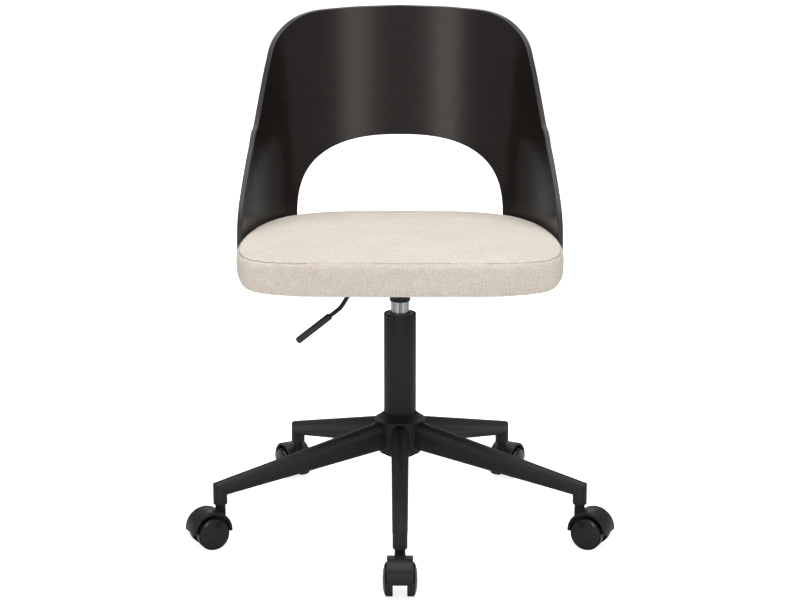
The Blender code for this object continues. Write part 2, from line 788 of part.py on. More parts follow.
def make_plate_screws():
    head_top = PLATE_BOTTOM - GAP
    head_bottom = head_top - SCREW_HEAD_HEIGHT
    head = dome(SCREW_HEAD_RADIUS, head_top, head_bottom - head_top, HEAD_STEPS)
    tip = BOARD_BOTTOM + SCREW_BITE
    shank = [(0, tip), (SCREW_RADIUS, tip), (SCREW_RADIUS, head_top)]
    profile = shank + head
    for i, (x, y) in enumerate(screw_places()):
        screw = moved(turned(profile, SMALL_SEGMENTS), Matrix.Translation((x, y, 0)))
        node(f"plate_screw_{i + 1}", screw, bright_steel())


# Lever.


def lever_path():
    corners = [
        (LEVER_OVER_BUTTON, LEVER_Z),
        (LEVER_TOP_BEND_X, LEVER_Z),
        (LEVER_LOW_BEND_X, LEVER_LOW_BEND_Z),
        (LEVER_TIP_X, LEVER_TIP_Z),
    ]
    along = np.array(corners[3]) - np.array(corners[2])
    along /= np.linalg.norm(along)
    rod_end = tuple(np.array(corners[3]) - along * (GRIP_END_WALL + GAP))
    flat = [corners[0]]
    flat += rounded_corner(corners[0], corners[1], corners[2], LEVER_TOP_BEND_RADIUS, LEVER_BEND_STEPS)
    flat += rounded_corner(corners[1], corners[2], corners[3], LEVER_LOW_BEND_RADIUS, LEVER_BEND_STEPS)
    flat.append(rod_end)
    return [(x, 0.0, z) for x, z in flat], (along[0], 0.0, along[1])


def make_lever():
    path, along = lever_path()
    rod = swept(path, LEVER_RADIUS, SMALL_SEGMENTS)
    pin_hole = across_hole(LEVER_PIVOT_X, LEVER_Z, LEVER_PIN_RADIUS + GAP, 2 * LEVER_RADIUS)
    lever = node("lever_rod", cut(rod, [pin_hole]), black_steel())
    pivot = (LEVER_PIVOT_X, 0, LEVER_Z)
    set_origin(lever, pivot)
    bore = LEVER_RADIUS + GAP
    profile = [(bore, 0), (GRIP_RADIUS - GAP, 0), (GRIP_RADIUS, GAP)]
    profile += dome(GRIP_RADIUS, GRIP_LENGTH - GRIP_END_ROUND, GRIP_END_ROUND, HEAD_STEPS)
    profile += [(0, GRIP_LENGTH - GRIP_END_WALL), (bore, GRIP_LENGTH - GRIP_END_WALL)]
    start = Vector((LEVER_TIP_X, 0, LEVER_TIP_Z)) - Vector(along) * GRIP_LENGTH
    turn = Vector((0, 0, 1)).rotation_difference(Vector(along)).to_matrix().to_4x4()
    grip_mesh = moved(turned(profile, SMALL_SEGMENTS), Matrix.Translation(start) @ turn)
    grip = node("lever_grip", grip_mesh, black_nylon())
    set_origin(grip, pivot)


def make_lever_pin():
    half = HOUSING_HALF_WIDTH - GAP
    return node("lever_pin", across_hole(LEVER_PIVOT_X, LEVER_Z, LEVER_PIN_RADIUS, half), bright_steel())


# Seat outline, shared by the board, the cushion and the back shell.


def smooth_step(value):
    value = np.clip(value, 0, 1)
    return value * value * (3 - 2 * value)


def seat_outline(samples):
    """The seat's plan from the middle of its rear edge, round by +X, and back to the start."""
    angles = np.linspace(0, 2 * math.pi, samples, endpoint=False)
    ahead, side = np.cos(angles), np.sin(angles)
    power = np.where(ahead >= 0, SEAT_REAR_SQUARENESS, SEAT_FRONT_SQUARENESS)
    reach = (np.abs(ahead) ** power + np.abs(side) ** power) ** (-1 / power)
    v, u = reach * ahead, reach * side
    taper = smooth_step((v - SEAT_TAPER_START) / (SEAT_TAPER_END - SEAT_TAPER_START))
    x = u * SEAT_HALF_WIDTH * (1 - SEAT_REAR_TAPER * taper)
    return np.stack([x, v * SEAT_HALF_DEPTH + SEAT_CENTRE_Y], axis=1)


def outline_normals(outline):
    along = np.roll(outline, -1, axis=0) - np.roll(outline, 1, axis=0)
    along /= np.linalg.norm(along, axis=1)[:, None]
    return np.stack([-along[:, 1], along[:, 0]], axis=1)


DENSE_OUTLINE = seat_outline(OUTLINE_SAMPLES)
DENSE_NORMALS = outline_normals(DENSE_OUTLINE)


def seat_ring(inset, height, segments):
    """The seat's outline drawn in by an inset, with evenly spaced points."""
    curve = DENSE_OUTLINE - DENSE_NORMALS * inset
    closed = np.vstack([curve, curve[:1]])
    travel = np.concatenate([[0], np.cumsum(np.linalg.norm(np.diff(closed, axis=0), axis=1))])
    places = np.linspace(0, travel[-1], segments, endpoint=False)
    x = np.interp(places, travel, closed[:, 0])
    y = np.interp(places, travel, closed[:, 1])
    return [(px, py, height) for px, py in zip(x, y)]


def make_seat_board():
    board = lofted([seat_ring(BOARD_INSET, z, SEAT_SEGMENTS) for z in (BOARD_BOTTOM, BOARD_TOP)])
    tools = screw_holes(SCREW_RADIUS + GAP, PLATE_BOTTOM, BOARD_BOTTOM + SCREW_BITE + SCREW_TIP_ROOM)
    tools += bolt_holes(BOARD_INSET + BOLT_BITE + BOLT_TIP_ROOM)
    return node("seat_board", cut(board, tools), bare_ply())


def make_dust_cover():
    heights = (DUST_COVER_BOTTOM, DUST_COVER_TOP)
    cloth = lofted([seat_ring(DUST_COVER_INSET, z, SEAT_SEGMENTS) for z in heights])
    holes = screw_holes(SCREW_RADIUS + 2 * GAP, PLATE_BOTTOM, BOARD_TOP)
    return node("dust_cover", cut(cloth, holes), black_cloth())


def cushion_side():
    """(inset, height) of the cushion's side, from its lower rim up to the seam and into the crown."""
    lower, upper = CUSHION_LOWER_ROUND, CUSHION_UPPER_ROUND
    rows = []
    for i in range(CUSHION_LOWER_STEPS + 1):
        angle = math.pi / 2 * i / CUSHION_LOWER_STEPS
        rows.append((lower * (1 - math.sin(angle)), CUSHION_BOTTOM + lower * (1 - math.cos(angle))))
    for share in CUSHION_UPPER_SHARES:
        rows.append((CUSHION_SEAM_INSET * share**2, CUSHION_SEAM_Z - upper * (1 - share)))
    rows.append((CUSHION_SEAM_INSET - CUSHION_SEAM_DEPTH / 2, CUSHION_SEAM_Z - CUSHION_SEAM_DEPTH))
    rows.append((CUSHION_SEAM_INSET + CUSHION_SEAM_DEPTH, CUSHION_SEAM_Z))
    rows.append((CUSHION_SEAM_INSET + CUSHION_SEAM_DEPTH, CUSHION_SEAM_Z + CUSHION_SEAM_DEPTH))
    return rows


def thinned_to_rear(point):
    """The foam is thinner at the rear: the seam falls from front to rear, the underside stays level."""
    x, y, z = point
    back = (y - SEAT_CENTRE_Y + SEAT_HALF_DEPTH) / (2 * SEAT_HALF_DEPTH)
    level = BOARD_TOP + GAP
    up = max(0.0, (z - level) / (CUSHION_SEAM_Z - level))
    return (x, y, z - CUSHION_REAR_FALL * back * min(up, 1.0))


def cushion_mesh():
    recess = BOARD_INSET - RECESS_CLEARANCE
    count = SEAT_SEGMENTS
    rings = [seat_ring(recess, BOARD_TOP + GAP, count), seat_ring(recess, CUSHION_BOTTOM + GAP, count)]
    rings += [seat_ring(inset, height, count) for inset, height in cushion_side()]
    seam_inset, seam_top = cushion_side()[-1]
    edge = np.array(seat_ring(seam_inset, seam_top, count))
    centre = np.array([0.0, SEAT_CENTRE_Y, seam_top])
    for share in CUSHION_TOP_SHARES:
        ring = centre + (edge - centre) * share
        ring[:, 2] = seam_top + CUSHION_CROWN * (1 - share**CUSHION_CROWN_POWER)
        rings.append(list(map(tuple, ring)))
    points = [point for ring in rings for point in ring]
    faces = [tuple(range(count))]
    for i in range(len(rings) - 1):
        faces += ring_strip(i * count, (i + 1) * count, count)
    last = (len(rings) - 1) * count
    points.append((0.0, SEAT_CENTRE_Y, seam_top + CUSHION_CROWN))
    points = [thinned_to_rear(point) for point in points]
    faces += [(last + i, last + (i + 1) % count, len(points) - 1) for i in range(count)]
    return mesh_from(points, faces)


def make_cushion():
    return node("seat_cushion", cut(cushion_mesh(), bolt_holes(BOARD_INSET + BOLT_BITE)), linen())


# Back shell: a flat pattern of span and height, bent round the seat's outline.


def lean(height):
    """How far the shell has leaned back at a height, easing in from upright at the seat."""
    rise = np.asarray(height, float) - SHELL_LEAN_FROM
    eased = (np.sqrt(rise**2 + SHELL_LEAN_EASE**2) + rise) / 2
    return math.tan(math.radians(SHELL_LEAN_DEG)) * eased


INNER_CURVE = DENSE_OUTLINE + DENSE_NORMALS * SHELL_CUSHION_GAP
INNER_TRAVEL = np.concatenate([[0], np.cumsum(np.linalg.norm(np.diff(INNER_CURVE, axis=0), axis=1))])


def bend(span, height, depth):
    """Carries a point of the flat pattern to its place, at a depth behind the shell's inner face."""
    reach = abs(span)
    side = math.copysign(1.0, span)
    x = np.interp(reach, INNER_TRAVEL, INNER_CURVE[:, 0])
    y = np.interp(reach, INNER_TRAVEL, INNER_CURVE[:, 1])
    normal_x = np.interp(reach, INNER_TRAVEL, DENSE_NORMALS[:, 0])
    normal_y = np.interp(reach, INNER_TRAVEL, DENSE_NORMALS[:, 1])
    length = math.hypot(normal_x, normal_y)
    x += depth * normal_x / length
    y += depth * normal_y / length + float(lean(height))
    return (side * x, y, height)


def top_line(span):
    return SHELL_TOP - SHELL_TOP_FALL * (span / SHELL_TOP_HALF_SPAN) ** 2


def outer_half_path():
    """The shell's outer edge on the +span side, from the middle of the top down to the wing's tip."""
    corners = [
        (0.0, SHELL_TOP),
        (SHELL_TOP_HALF_SPAN, SHELL_TOP),
        (SHELL_WAIST_HALF_SPAN, SHELL_WAIST_Z),
        (SHELL_WING_HALF_SPAN, SHELL_WING_Z),
        (SHELL_WING_HALF_SPAN, SHELL_BOTTOM),
        (ARCH_HALF_SPAN, SHELL_BOTTOM),
    ]
    radii = (SHELL_TOP_CORNER, SHELL_WAIST_RADIUS, SHELL_WING_RADIUS, SHELL_TIP_RADIUS)
    path = [corners[0]]
    for i, radius in enumerate(radii):
        path += rounded_corner(corners[i], corners[i + 1], corners[i + 2], radius, SHELL_CORNER_STEPS)
    fall = [SHELL_TOP - top_line(min(span, SHELL_TOP_HALF_SPAN)) for span, _ in path]
    return [(span, z - drop if z > SHELL_WAIST_Z else z) for (span, z), drop in zip(path, fall)]


def inner_half_path():
    """The arch's edge on the +span side, from its crown down to the leg's foot."""
    path = []
    for i in range(ARCH_STEPS + 1):
        angle = math.pi / 2 * i / ARCH_STEPS
        span = ARCH_HALF_SPAN * math.sin(angle) ** (2 / ARCH_SQUARENESS)
        path.append((span, ARCH_SPRING_Z + ARCH_RISE * math.cos(angle) ** (2 / ARCH_SQUARENESS)))
    path.append((ARCH_HALF_SPAN, SHELL_BOTTOM))
    return path


def spaced(path, count):
    """Points at equal steps along a flat path."""
    path = np.array(path, float)
    travel = np.concatenate([[0], np.cumsum(np.linalg.norm(np.diff(path, axis=0), axis=1))])
    places = np.linspace(0, travel[-1], count)
    return np.stack([np.interp(places, travel, path[:, 0]), np.interp(places, travel, path[:, 1])], axis=1)


def shell_pattern():
    """Rows of flat-pattern points: each row runs from the arch's edge to the outer edge."""
    half = SHELL_SEGMENTS // 2 + 1
    outer = spaced(outer_half_path(), half)
    inner = spaced(inner_half_path(), half)
    rows = []
    for sign in (1, -1):
        order = range(half - 1, -1, -1) if sign == 1 else range(1, half)
        for i in order:
            shares = np.linspace(0, 1, SHELL_BANDS + 1)[:, None]
            row = inner[i] * (1 - shares) + outer[i] * shares
            row[:, 0] *= sign
            rows.append(row)
    return np.array(rows)


def shell_mesh():
    rows = shell_pattern()
    row_count, band_count = rows.shape[:2]
    points = []
    for depth in (0.0, SHELL_THICKNESS):
        points += [bend(span, height, depth) for row in rows for span, height in row]
    sheet = row_count * band_count

    def at(layer, row, band):
        return layer * sheet + row * band_count + band

    faces = []
    for r in range(row_count - 1):
        for b in range(band_count - 1):
            for layer in (0, 1):
                corners = (at(layer, r, b), at(layer, r + 1, b), at(layer, r + 1, b + 1), at(layer, r, b + 1))
                faces.append(corners)
        for b in (0, band_count - 1):
            faces.append((at(0, r, b), at(0, r + 1, b), at(1, r + 1, b), at(1, r, b)))
    for r in (0, row_count - 1):
        for b in range(band_count - 1):
            faces.append((at(0, r, b), at(0, r, b + 1), at(1, r, b + 1), at(1, r, b)))
    return mesh_from(points, faces)


def edge_rounded(mesh, width):
    """Breaks the sheet's sharp edges."""
    shape = bmesh.new()
    shape.from_mesh(mesh)
    sharp = [edge for edge in shape.edges if edge.calc_face_angle(0) > math.radians(SHELL_SHARP_DEG)]
    bmesh.ops.bevel(shape, geom=sharp, offset=width, segments=1, affect="EDGES", clamp_overlap=True)
    shape.to_mesh(mesh)
    shape.free()
    return mesh


def bolt_frames():
    """Where each wing bolt meets the shell's outer face, with the outward direction there."""
    frames = []
    for side in (-1, 1):
        for span in BOLT_SPANS:
            face = Vector(bend(side * span, BOLT_Z, SHELL_THICKNESS))
            inside = Vector(bend(side * span, BOLT_Z, 0.0))
            frames.append((face, (face - inside).normalized()))
    return frames


def bolt_turned(profile, face, outward):
    """A turned shape whose +Z becomes the bolt's outward direction."""
    turn = Vector((0, 0, 1)).rotation_difference(outward).to_matrix().to_4x4()
    return moved(turned(profile, SMALL_SEGMENTS), Matrix.Translation(face) @ turn)


def bolt_holes(inset):
    """Cutters from outside the shell down to a depth below the seat's outline."""
    depth = SHELL_THICKNESS + SHELL_CUSHION_GAP + inset
    return [
        bolt_turned(rod_profile(BOLT_RADIUS + GAP, -depth, SHELL_THICKNESS), face, outward)
        for face, outward in bolt_frames()
    ]


def make_back_shell():
    shell = edge_rounded(shell_mesh(), SHELL_EDGE_ROUND)
    return node("back_shell", cut(shell, bolt_holes(BOARD_INSET)), black_ply())


def make_back_bolts():
    tip = -(SHELL_THICKNESS + SHELL_CUSHION_GAP + BOARD_INSET + BOLT_BITE)
    shank = [(0, tip), (BOLT_RADIUS, tip), (BOLT_RADIUS, GAP)]
    profile = shank + dome(BOLT_HEAD_RADIUS, GAP, BOLT_HEAD_HEIGHT, DOME_STEPS)
    for i, (face, outward) in enumerate(bolt_frames()):
        node(f"back_bolt_{i + 1}", bolt_turned(profile, face, outward), black_steel())


# Casters. Each is drawn with its stem on Z and its trail along +X, then turned and carried to its leg.


def hood_outline(radius, boss):
    """The hood's side view: an arch over the wheels that dips round the axle."""
    axle = (CASTER_TRAIL, WHEEL_AXIS_Z)
    arch = arc((CASTER_TRAIL, HOOD_AXIS_Z), radius, HOOD_FRONT_DEG, HOOD_REAR_DEG, HOOD_STEPS)
    return arch + arc(axle, boss, HOOD_BOSS_FROM_DEG, HOOD_BOSS_TO_DEG, HOOD_BOSS_STEPS)


def hood_mesh():
    rings = []
    for width, trim in ((-1, 1), (-1, 0), (1, 0), (1, 1)):
        y = width * (HOOD_HALF_WIDTH - HOOD_EDGE * (1 - trim))
        outline = hood_outline(HOOD_RADIUS - HOOD_EDGE * trim, AXLE_BOSS_RADIUS - HOOD_EDGE * trim)
        rings.append([(x, y, z) for x, z in outline])
    hood = lofted(rings)
    neck = turned(rod_profile(NECK_RADIUS, NECK_FOOT, NECK_TOP), SMALL_SEGMENTS)
    hood = joined(hood, [neck])
    tools = []
    for side in (-1, 1):
        pocket = turned(rod_profile(HOOD_RADIUS - HOOD_WALL, 0, 2 * HOOD_HALF_WIDTH), WHEEL_SEGMENTS)
        turn = Matrix.Rotation(-side * math.pi / 2, 4, "X")
        place = Matrix.Translation((CASTER_TRAIL, side * WEB_HALF_WIDTH, HOOD_AXIS_Z))
        tools.append(moved(pocket, place @ turn))
    tools.append(across_hole(CASTER_TRAIL, WHEEL_AXIS_Z, AXLE_RADIUS + GAP, HOOD_HALF_WIDTH))
    tools.append(turned(rod_profile(STEM_RADIUS + GAP, STEM_FOOT - GAP, 2 * NECK_TOP), SMALL_SEGMENTS))
    return cut(hood, tools)


def stem_mesh():
    collar_bottom = NECK_TOP + GAP
    collar_top = SOCKET_BOTTOM - GAP
    profile = [
        (0, STEM_FOOT),
        (STEM_RADIUS, STEM_FOOT),
        (STEM_RADIUS, collar_bottom),
        (STEM_COLLAR_RADIUS, collar_bottom),
        (STEM_COLLAR_RADIUS, collar_top),
        (STEM_RADIUS, collar_top),
        (STEM_RADIUS, STEM_TOP),
        (0, STEM_TOP),
    ]
    return turned(profile, SMALL_SEGMENTS)


def wheel_mesh(side):
    """One wheel, turned about the axle, with a domed outer face and a blind bore."""
    bore = AXLE_RADIUS + GAP
    profile = [
        (0, AXLE_HALF_LENGTH + GAP),
        (bore, AXLE_HALF_LENGTH + GAP),
        (bore, WHEEL_INNER_FACE),
        (WHEEL_RADIUS, WHEEL_INNER_FACE),
    ]
    profile += dome(WHEEL_RADIUS, WHEEL_TREAD_EDGE, WHEEL_DOME, DOME_STEPS)
    wheel = turned(profile, WHEEL_SEGMENTS)
    turn = Matrix.Rotation(-side * math.pi / 2, 4, "X")
    return moved(wheel, Matrix.Translation((CASTER_TRAIL, 0, WHEEL_AXIS_Z)) @ turn)


def make_casters():
    hood, stem = hood_mesh(), stem_mesh()
    axle = across_hole(CASTER_TRAIL, WHEEL_AXIS_Z, AXLE_RADIUS, AXLE_HALF_LENGTH)
    wheels = (("left", wheel_mesh(1)), ("right", wheel_mesh(-1)))
    for i, heading in enumerate(CASTER_HEADINGS_DEG):
        angle = leg_angle(i)
        foot = Vector((STEM_CIRCLE_RADIUS * math.cos(angle), STEM_CIRCLE_RADIUS * math.sin(angle), 0))
        place = Matrix.Translation(foot) @ Matrix.Rotation(math.radians(heading), 4, "Z")
        stem_point = place @ Vector((0, 0, STEM_FOOT))
        pieces = (("hood", hood, black_nylon()), ("stem", stem, bright_steel()), ("axle", axle, bright_steel()))
        for word, pattern, surface in pieces:
            piece = node(f"caster_{i + 1}_{word}", moved(pattern.copy(), place), surface)
            set_origin(piece, stem_point)
        axle_point = place @ Vector((CASTER_TRAIL, 0, WHEEL_AXIS_Z))
        for word, pattern in wheels:
            wheel = node(f"caster_{i + 1}_wheel_{word}", moved(pattern.copy(), place), black_nylon())
            set_origin(wheel, axle_point)


# Whole chair.


def clear_scene():
    for old in list(bpy.data.objects):
        bpy.data.objects.remove(old)


def centre_box():
    """Moves every piece by one step, so that the chair's box is centred over the origin and stands on Z = 0."""
    bpy.context.view_layer.update()
    corners = []
    for piece in bpy.context.scene.objects:
        corners += [piece.matrix_world @ vertex.co for vertex in piece.data.vertices]
    points = np.array(corners)
    low, high = points.min(axis=0), points.max(axis=0)
    step = Vector((-(low[0] + high[0]) / 2, -(low[1] + high[1]) / 2, -low[2]))
    for piece in bpy.context.scene.objects:
        piece.location += step
    return step


def main():
    clear_scene()
    make_hub()
    make_hub_cover()
    make_legs()
    make_column_tube()
    make_guide_sleeve()
    make_thrust_bearing()
    make_piston_rod()
    make_rod_clip()
    make_gas_cylinder()
    make_rod_gland()
    make_valve_button()
    make_taper_socket()
    make_lift_housing()
    make_seat_plate()
    make_plate_screws()
    make_lever()
    make_lever_pin()
    make_seat_board()
    make_dust_cover()
    make_cushion()
    make_back_shell()
    make_back_bolts()
    make_casters()
    step = centre_box()
    print("column axis at", round(step.x, 5), round(step.y, 5), "floor moved by", round(step.z, 6))


main()
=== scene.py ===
"""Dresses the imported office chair: bent plywood back, linen seat, gas lift, lever, star base and casters."""

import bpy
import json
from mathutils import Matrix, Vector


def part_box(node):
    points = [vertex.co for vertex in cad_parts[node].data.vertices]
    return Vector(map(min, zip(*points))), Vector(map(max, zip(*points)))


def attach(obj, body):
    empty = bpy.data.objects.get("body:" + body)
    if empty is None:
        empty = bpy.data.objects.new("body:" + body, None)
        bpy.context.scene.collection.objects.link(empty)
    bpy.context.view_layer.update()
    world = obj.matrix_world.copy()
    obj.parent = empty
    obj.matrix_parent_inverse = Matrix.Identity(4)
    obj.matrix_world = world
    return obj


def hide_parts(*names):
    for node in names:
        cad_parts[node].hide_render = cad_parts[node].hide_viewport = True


bl_info = {
    "name": "Office Chair Dresser",
    "version": (1, 0, 0),
    "blender": (4, 5, 0),
    "location": "3D View > Sidebar > Chair",
    "description": "Builds the visible pieces and finishes of a swivel office chair around its packed frame",
    "category": "Object",
}

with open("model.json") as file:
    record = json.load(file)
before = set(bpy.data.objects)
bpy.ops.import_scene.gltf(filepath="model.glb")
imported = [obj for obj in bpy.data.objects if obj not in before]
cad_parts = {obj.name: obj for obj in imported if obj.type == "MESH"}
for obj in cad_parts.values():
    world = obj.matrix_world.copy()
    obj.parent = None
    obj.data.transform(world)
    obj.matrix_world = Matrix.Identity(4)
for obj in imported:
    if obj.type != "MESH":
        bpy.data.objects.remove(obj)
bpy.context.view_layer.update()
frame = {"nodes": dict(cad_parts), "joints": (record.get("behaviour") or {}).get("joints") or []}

import json
import math

import bmesh
import bpy
import numpy as np
from bpy.props import FloatProperty, FloatVectorProperty, IntProperty, PointerProperty
from mathutils import Matrix, Vector

COLUMN = (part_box("column_tube")[0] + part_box("column_tube")[1]) / 2
RUNNING_GAP = 0.0003
ON_PLANE = 1e-6
JOIN = 2e-6


# Sizes and colours that a user would change.


def size(name, what, default):
    return FloatProperty(name=name, description=what, default=default, unit="LENGTH")


def colour(name, what, default):
    return FloatVectorProperty(
        name=name, description=what, default=default, subtype="COLOR", min=0.0, max=1.0
    )


class ChairFinishes(bpy.types.PropertyGroup):
    steel: colour("Powder coat", "Colour of the coated steel", (0.0170, 0.0170, 0.0173))
    nylon: colour("Nylon", "Colour of the moulded wheels, hoods and caps", (0.0150, 0.0150, 0.0153))
    stain: colour("Stained ply", "Colour of the lacquered face of the back", (0.0116, 0.0090, 0.0080))
    # Lighter than the stain: the end grain, and in part a painted highlight along the edge.
    edge_grain_and_highlight: colour("Ply edge", "Colour of the back's sanded and stained edge", (0.0155, 0.0138, 0.0130))
    linen_light: colour("Linen, light yarn", "Lighter yarn of the seat cloth", (0.955, 0.88, 0.785))
    linen_dark: colour("Linen, dark yarn", "Darker yarn of the seat cloth", (0.63, 0.535, 0.445))
    grey_plastic: colour("Acetal", "Colour of the guide sleeve", (0.45, 0.45, 0.44))
    zinc: colour("Zinc", "Colour of the plated small parts", (0.56, 0.56, 0.54))
    dark_zinc: colour("Dark zinc", "Colour of the caster stems", (0.03, 0.03, 0.031))
    bare_ply: colour("Bare ply", "Colour of the seat board", (0.55, 0.40, 0.25))
    floor: colour("Floor", "Colour of the studio floor", (0.97, 0.97, 0.97))


class ChairSizes(bpy.types.PropertyGroup):
    thread: size("Yarn spacing", "Distance between neighbouring yarns of the linen", 0.0016)
    seam_width: size("Seam width", "Width of the seam line round the cushion", 0.0014)
    seam_depth: size("Seam depth", "Depth of the seam line round the cushion", 0.0006)
    cushion_voxel: size("Cushion mesh step", "Point spacing of the simulated cover", 0.0046)
    cushion_cap: size("Cushion swell", "Most that the cover may move when it fills", 0.0024)
    cushion_wrap: size("Cushion wrap", "How far the cover reaches below the board", 0.0028)
    steel_edge: size("Steel edge radius", "Rounding of cut steel edges", 0.0006)
    round_steps: IntProperty(name="Round steps", description="Facets of a turned piece", default=96, min=24)
    back_bow: size("Back bow", "How far the back's middle is hollow from side to side", 0.0050)
    camera_distance: size("Camera distance", "From the column's axis back to the camera", 3.390)
    camera_height: size("Camera height", "Height of the camera above the floor", 1.183)
    camera_tilt: FloatProperty(
        name="Camera tilt", description="How far the camera looks down", default=0.23666, subtype="ANGLE"
    )
    camera_lens: FloatProperty(
        name="Lens", description="Focal length in millimetres", default=101.68, min=1.0
    )


# Selection and mesh helpers.


def nothing_selected():
    if bpy.context.mode != "OBJECT":
        bpy.ops.object.mode_set(mode="OBJECT")
    bpy.ops.object.select_all(action="DESELECT")


def only(piece):
    """Leaves one object selected and active."""
    nothing_selected()
    piece.select_set(True)
    bpy.context.view_layer.objects.active = piece
    return piece


def editing(piece, select="SELECT"):
    only(piece)
    bpy.ops.object.mode_set(mode="EDIT")
    bpy.ops.mesh.select_mode(type="VERT")
    bpy.ops.mesh.select_all(action=select)


def done_editing():
    bpy.ops.object.mode_set(mode="OBJECT")


def settle(piece):
    """Puts the object at the origin, unturned and unscaled, with its place in its mesh."""
    only(piece)
    bpy.ops.object.transform_apply(location=True, rotation=True, scale=True)
    return piece


def tidy_mesh(piece):
    """Merges doubles and turns every face outwards."""
    editing(piece)
    bpy.ops.mesh.remove_doubles(threshold=ON_PLANE)
    bpy.ops.mesh.normals_make_consistent(inside=False)
    done_editing()
    return piece


def joined_copy(node, name):
    """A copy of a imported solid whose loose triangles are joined."""
    mesh = frame["nodes"][node].data.copy()
    mesh.materials.clear()
    mesh.name = name
    if mesh.attributes.get("custom_normal"):
        mesh.attributes.remove(mesh.attributes["custom_normal"])
    piece = bpy.data.objects.new(name, mesh)
    bpy.context.scene.collection.objects.link(piece)
    editing(piece)
    bpy.ops.mesh.remove_doubles(threshold=JOIN)
    done_editing()
    return piece


def merged_copy(node, name):
    """A joined copy whose flat faces are whole again."""
    piece = joined_copy(node, name)
    editing(piece)
    bpy.ops.mesh.dissolve_limited(angle_limit=math.radians(0.6))
    bpy.ops.mesh.normals_make_consistent(inside=False)
    done_editing()
    return piece


def modified(piece, kind, **settings):
    """Adds a modifier, sets it and applies it."""
    only(piece)
    change = piece.modifiers.new(kind.lower(), kind)
    for key, value in settings.items():
        setattr(change, key, value)
    bpy.ops.object.modifier_apply(modifier=change.name)
    return piece


def softened(piece, width, segments=2, angle=35.0):
    """Rounds the sharp edges a little."""
    return modified(
        piece,
        "BEVEL",
        width=width,
        segments=segments,
        limit_method="ANGLE",
        angle_limit=math.radians(angle),
        use_clamp_overlap=True,
        miter_outer="MITER_ARC",
    )


def smooth(piece, angle=35.0):
    only(piece)
    bpy.ops.object.shade_smooth_by_angle(angle=math.radians(angle))
    return piece


def cut_away(piece, cutter):
    """Takes the cutter's volume out of the piece and removes the cutter."""
    modified(piece, "BOOLEAN", operation="DIFFERENCE", solver="EXACT", object=cutter)
    bpy.data.objects.remove(cutter)
    return piece


def fused(piece, other):
    modified(piece, "BOOLEAN", operation="UNION", solver="EXACT", object=other)
    bpy.data.objects.remove(other)
    return piece


def turned(name, rows, segments, centre=(0.0, 0.0)):
    """Turns a profile of (radius, height) rows by extruding a ring from row to row about an upright axis.

    Rows that start or end at radius 0 close in a pole, and a profile whose last row is its first is a tube.
    """
    tube = rows[0] == rows[-1]
    start = rows[0] if rows[0][0] > 0 else rows[1]
    nothing_selected()
    fill = "NOTHING" if rows[0][0] > 0 else "TRIFAN"
    bpy.ops.mesh.primitive_circle_add(
        vertices=segments, radius=start[0], fill_type=fill, location=(*centre, start[1])
    )
    piece = bpy.context.object
    piece.name = piece.data.name = name
    settle(piece)
    editing(piece, "DESELECT")
    if fill == "TRIFAN":
        bpy.ops.mesh.select_non_manifold()
    else:
        bpy.ops.mesh.select_all(action="SELECT")
    rest = rows[1:] if rows[0][0] > 0 else rows[2:]
    radius, height = start
    for next_radius, next_height in rest:
        bpy.ops.mesh.extrude_region_move(TRANSFORM_OT_translate={"value": (0, 0, next_height - height)})
        if next_radius == 0:
            bpy.ops.mesh.merge(type="CENTER")
            break
        factor = next_radius / radius
        if factor != 1.0:
            bpy.ops.transform.resize(
                value=(factor, factor, 1.0), center_override=(*centre, next_height), orient_type="GLOBAL"
            )
        radius, height = next_radius, next_height
    done_editing()
    if rows[0][0] == 0 and rows[0][1] != start[1]:
        lift = rows[0][1] - start[1]
        middle = Vector((*centre, start[1]))
        pole = min(piece.data.vertices, key=lambda v: (v.co - middle).xy.length + abs(v.co.z - middle.z))
        pole.co.z += lift
    if tube or rows[0][0] == 0 or rows[-1][0] == 0:
        tidy_mesh(piece)
    return piece


def quarter_round(radius, height, width, rise, steps, start=0.0):
    """Rows of a quarter oval that turns in and up from (radius, height)."""
    rows = []
    for i in range(steps + 1):
        angle = math.pi / 2 * (start + (1 - start) * i / steps)
        rows.append((radius - width * (1 - math.cos(angle)), height + rise * math.sin(angle)))
    return rows


def placed(piece, matrix):
    """Carries a piece by a matrix and bakes its place into the mesh."""
    piece.matrix_world = matrix @ piece.matrix_world
    return settle(piece)


def twin(pattern, name, matrix):
    """A copy of a finished pattern with a mesh of its own."""
    piece = pattern.copy()
    piece.data = pattern.data.copy()
    bpy.context.scene.collection.objects.link(piece)
    piece.name = piece.data.name = name
    return placed(piece, matrix)


def dressed(piece, body, slot_name, finish, *nodes):
    """Gives a finished piece its material and body, and hides the solids that it stands for; its slot name is
    not used.
    """
    if not piece.data.materials:
        piece.data.materials.append(finish)
    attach(piece, body)
    if nodes:
        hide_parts(*nodes)
    return piece


def lathed(name, rows, body, slot_name, finish, node, angle=50.0, steps=None):
    """A piece turned about the column's axis and dressed."""
    piece = smooth(turned(name, rows, steps or sizes().round_steps, COLUMN.xy), angle)
    return dressed(piece, body, slot_name, finish, node)


def refined(node, name, body, slot_name, finish, width=0.0, segments=2, soft_angle=35.0, angle=35.0):
    """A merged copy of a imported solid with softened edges, dressed."""
    piece = merged_copy(node, name)
    if width:
        softened(piece, width, segments, soft_angle)
    return dressed(smooth(piece, angle), body, slot_name, finish, node)


def repaint(node, finish):
    """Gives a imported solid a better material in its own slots."""
    for slot in frame["nodes"][node].material_slots:
        slot.material = finish


# Curves for drawing a surface out or in.


def ramp(value, start, length):
    """Rises evenly from 0 at the start to 1 a length further on."""
    return min(max((value - start) / length, 0.0), 1.0)


def eased(share):
    """A share from 0 to 1 with soft ends."""
    return share * share * (3 - 2 * share)


def hump(value, centre, width):
    """A soft rise to 1 at the centre, and 0 further off than the width."""
    return max(0.0, 1 - ((value - centre) / width) ** 2) ** 2


# Shader building blocks.


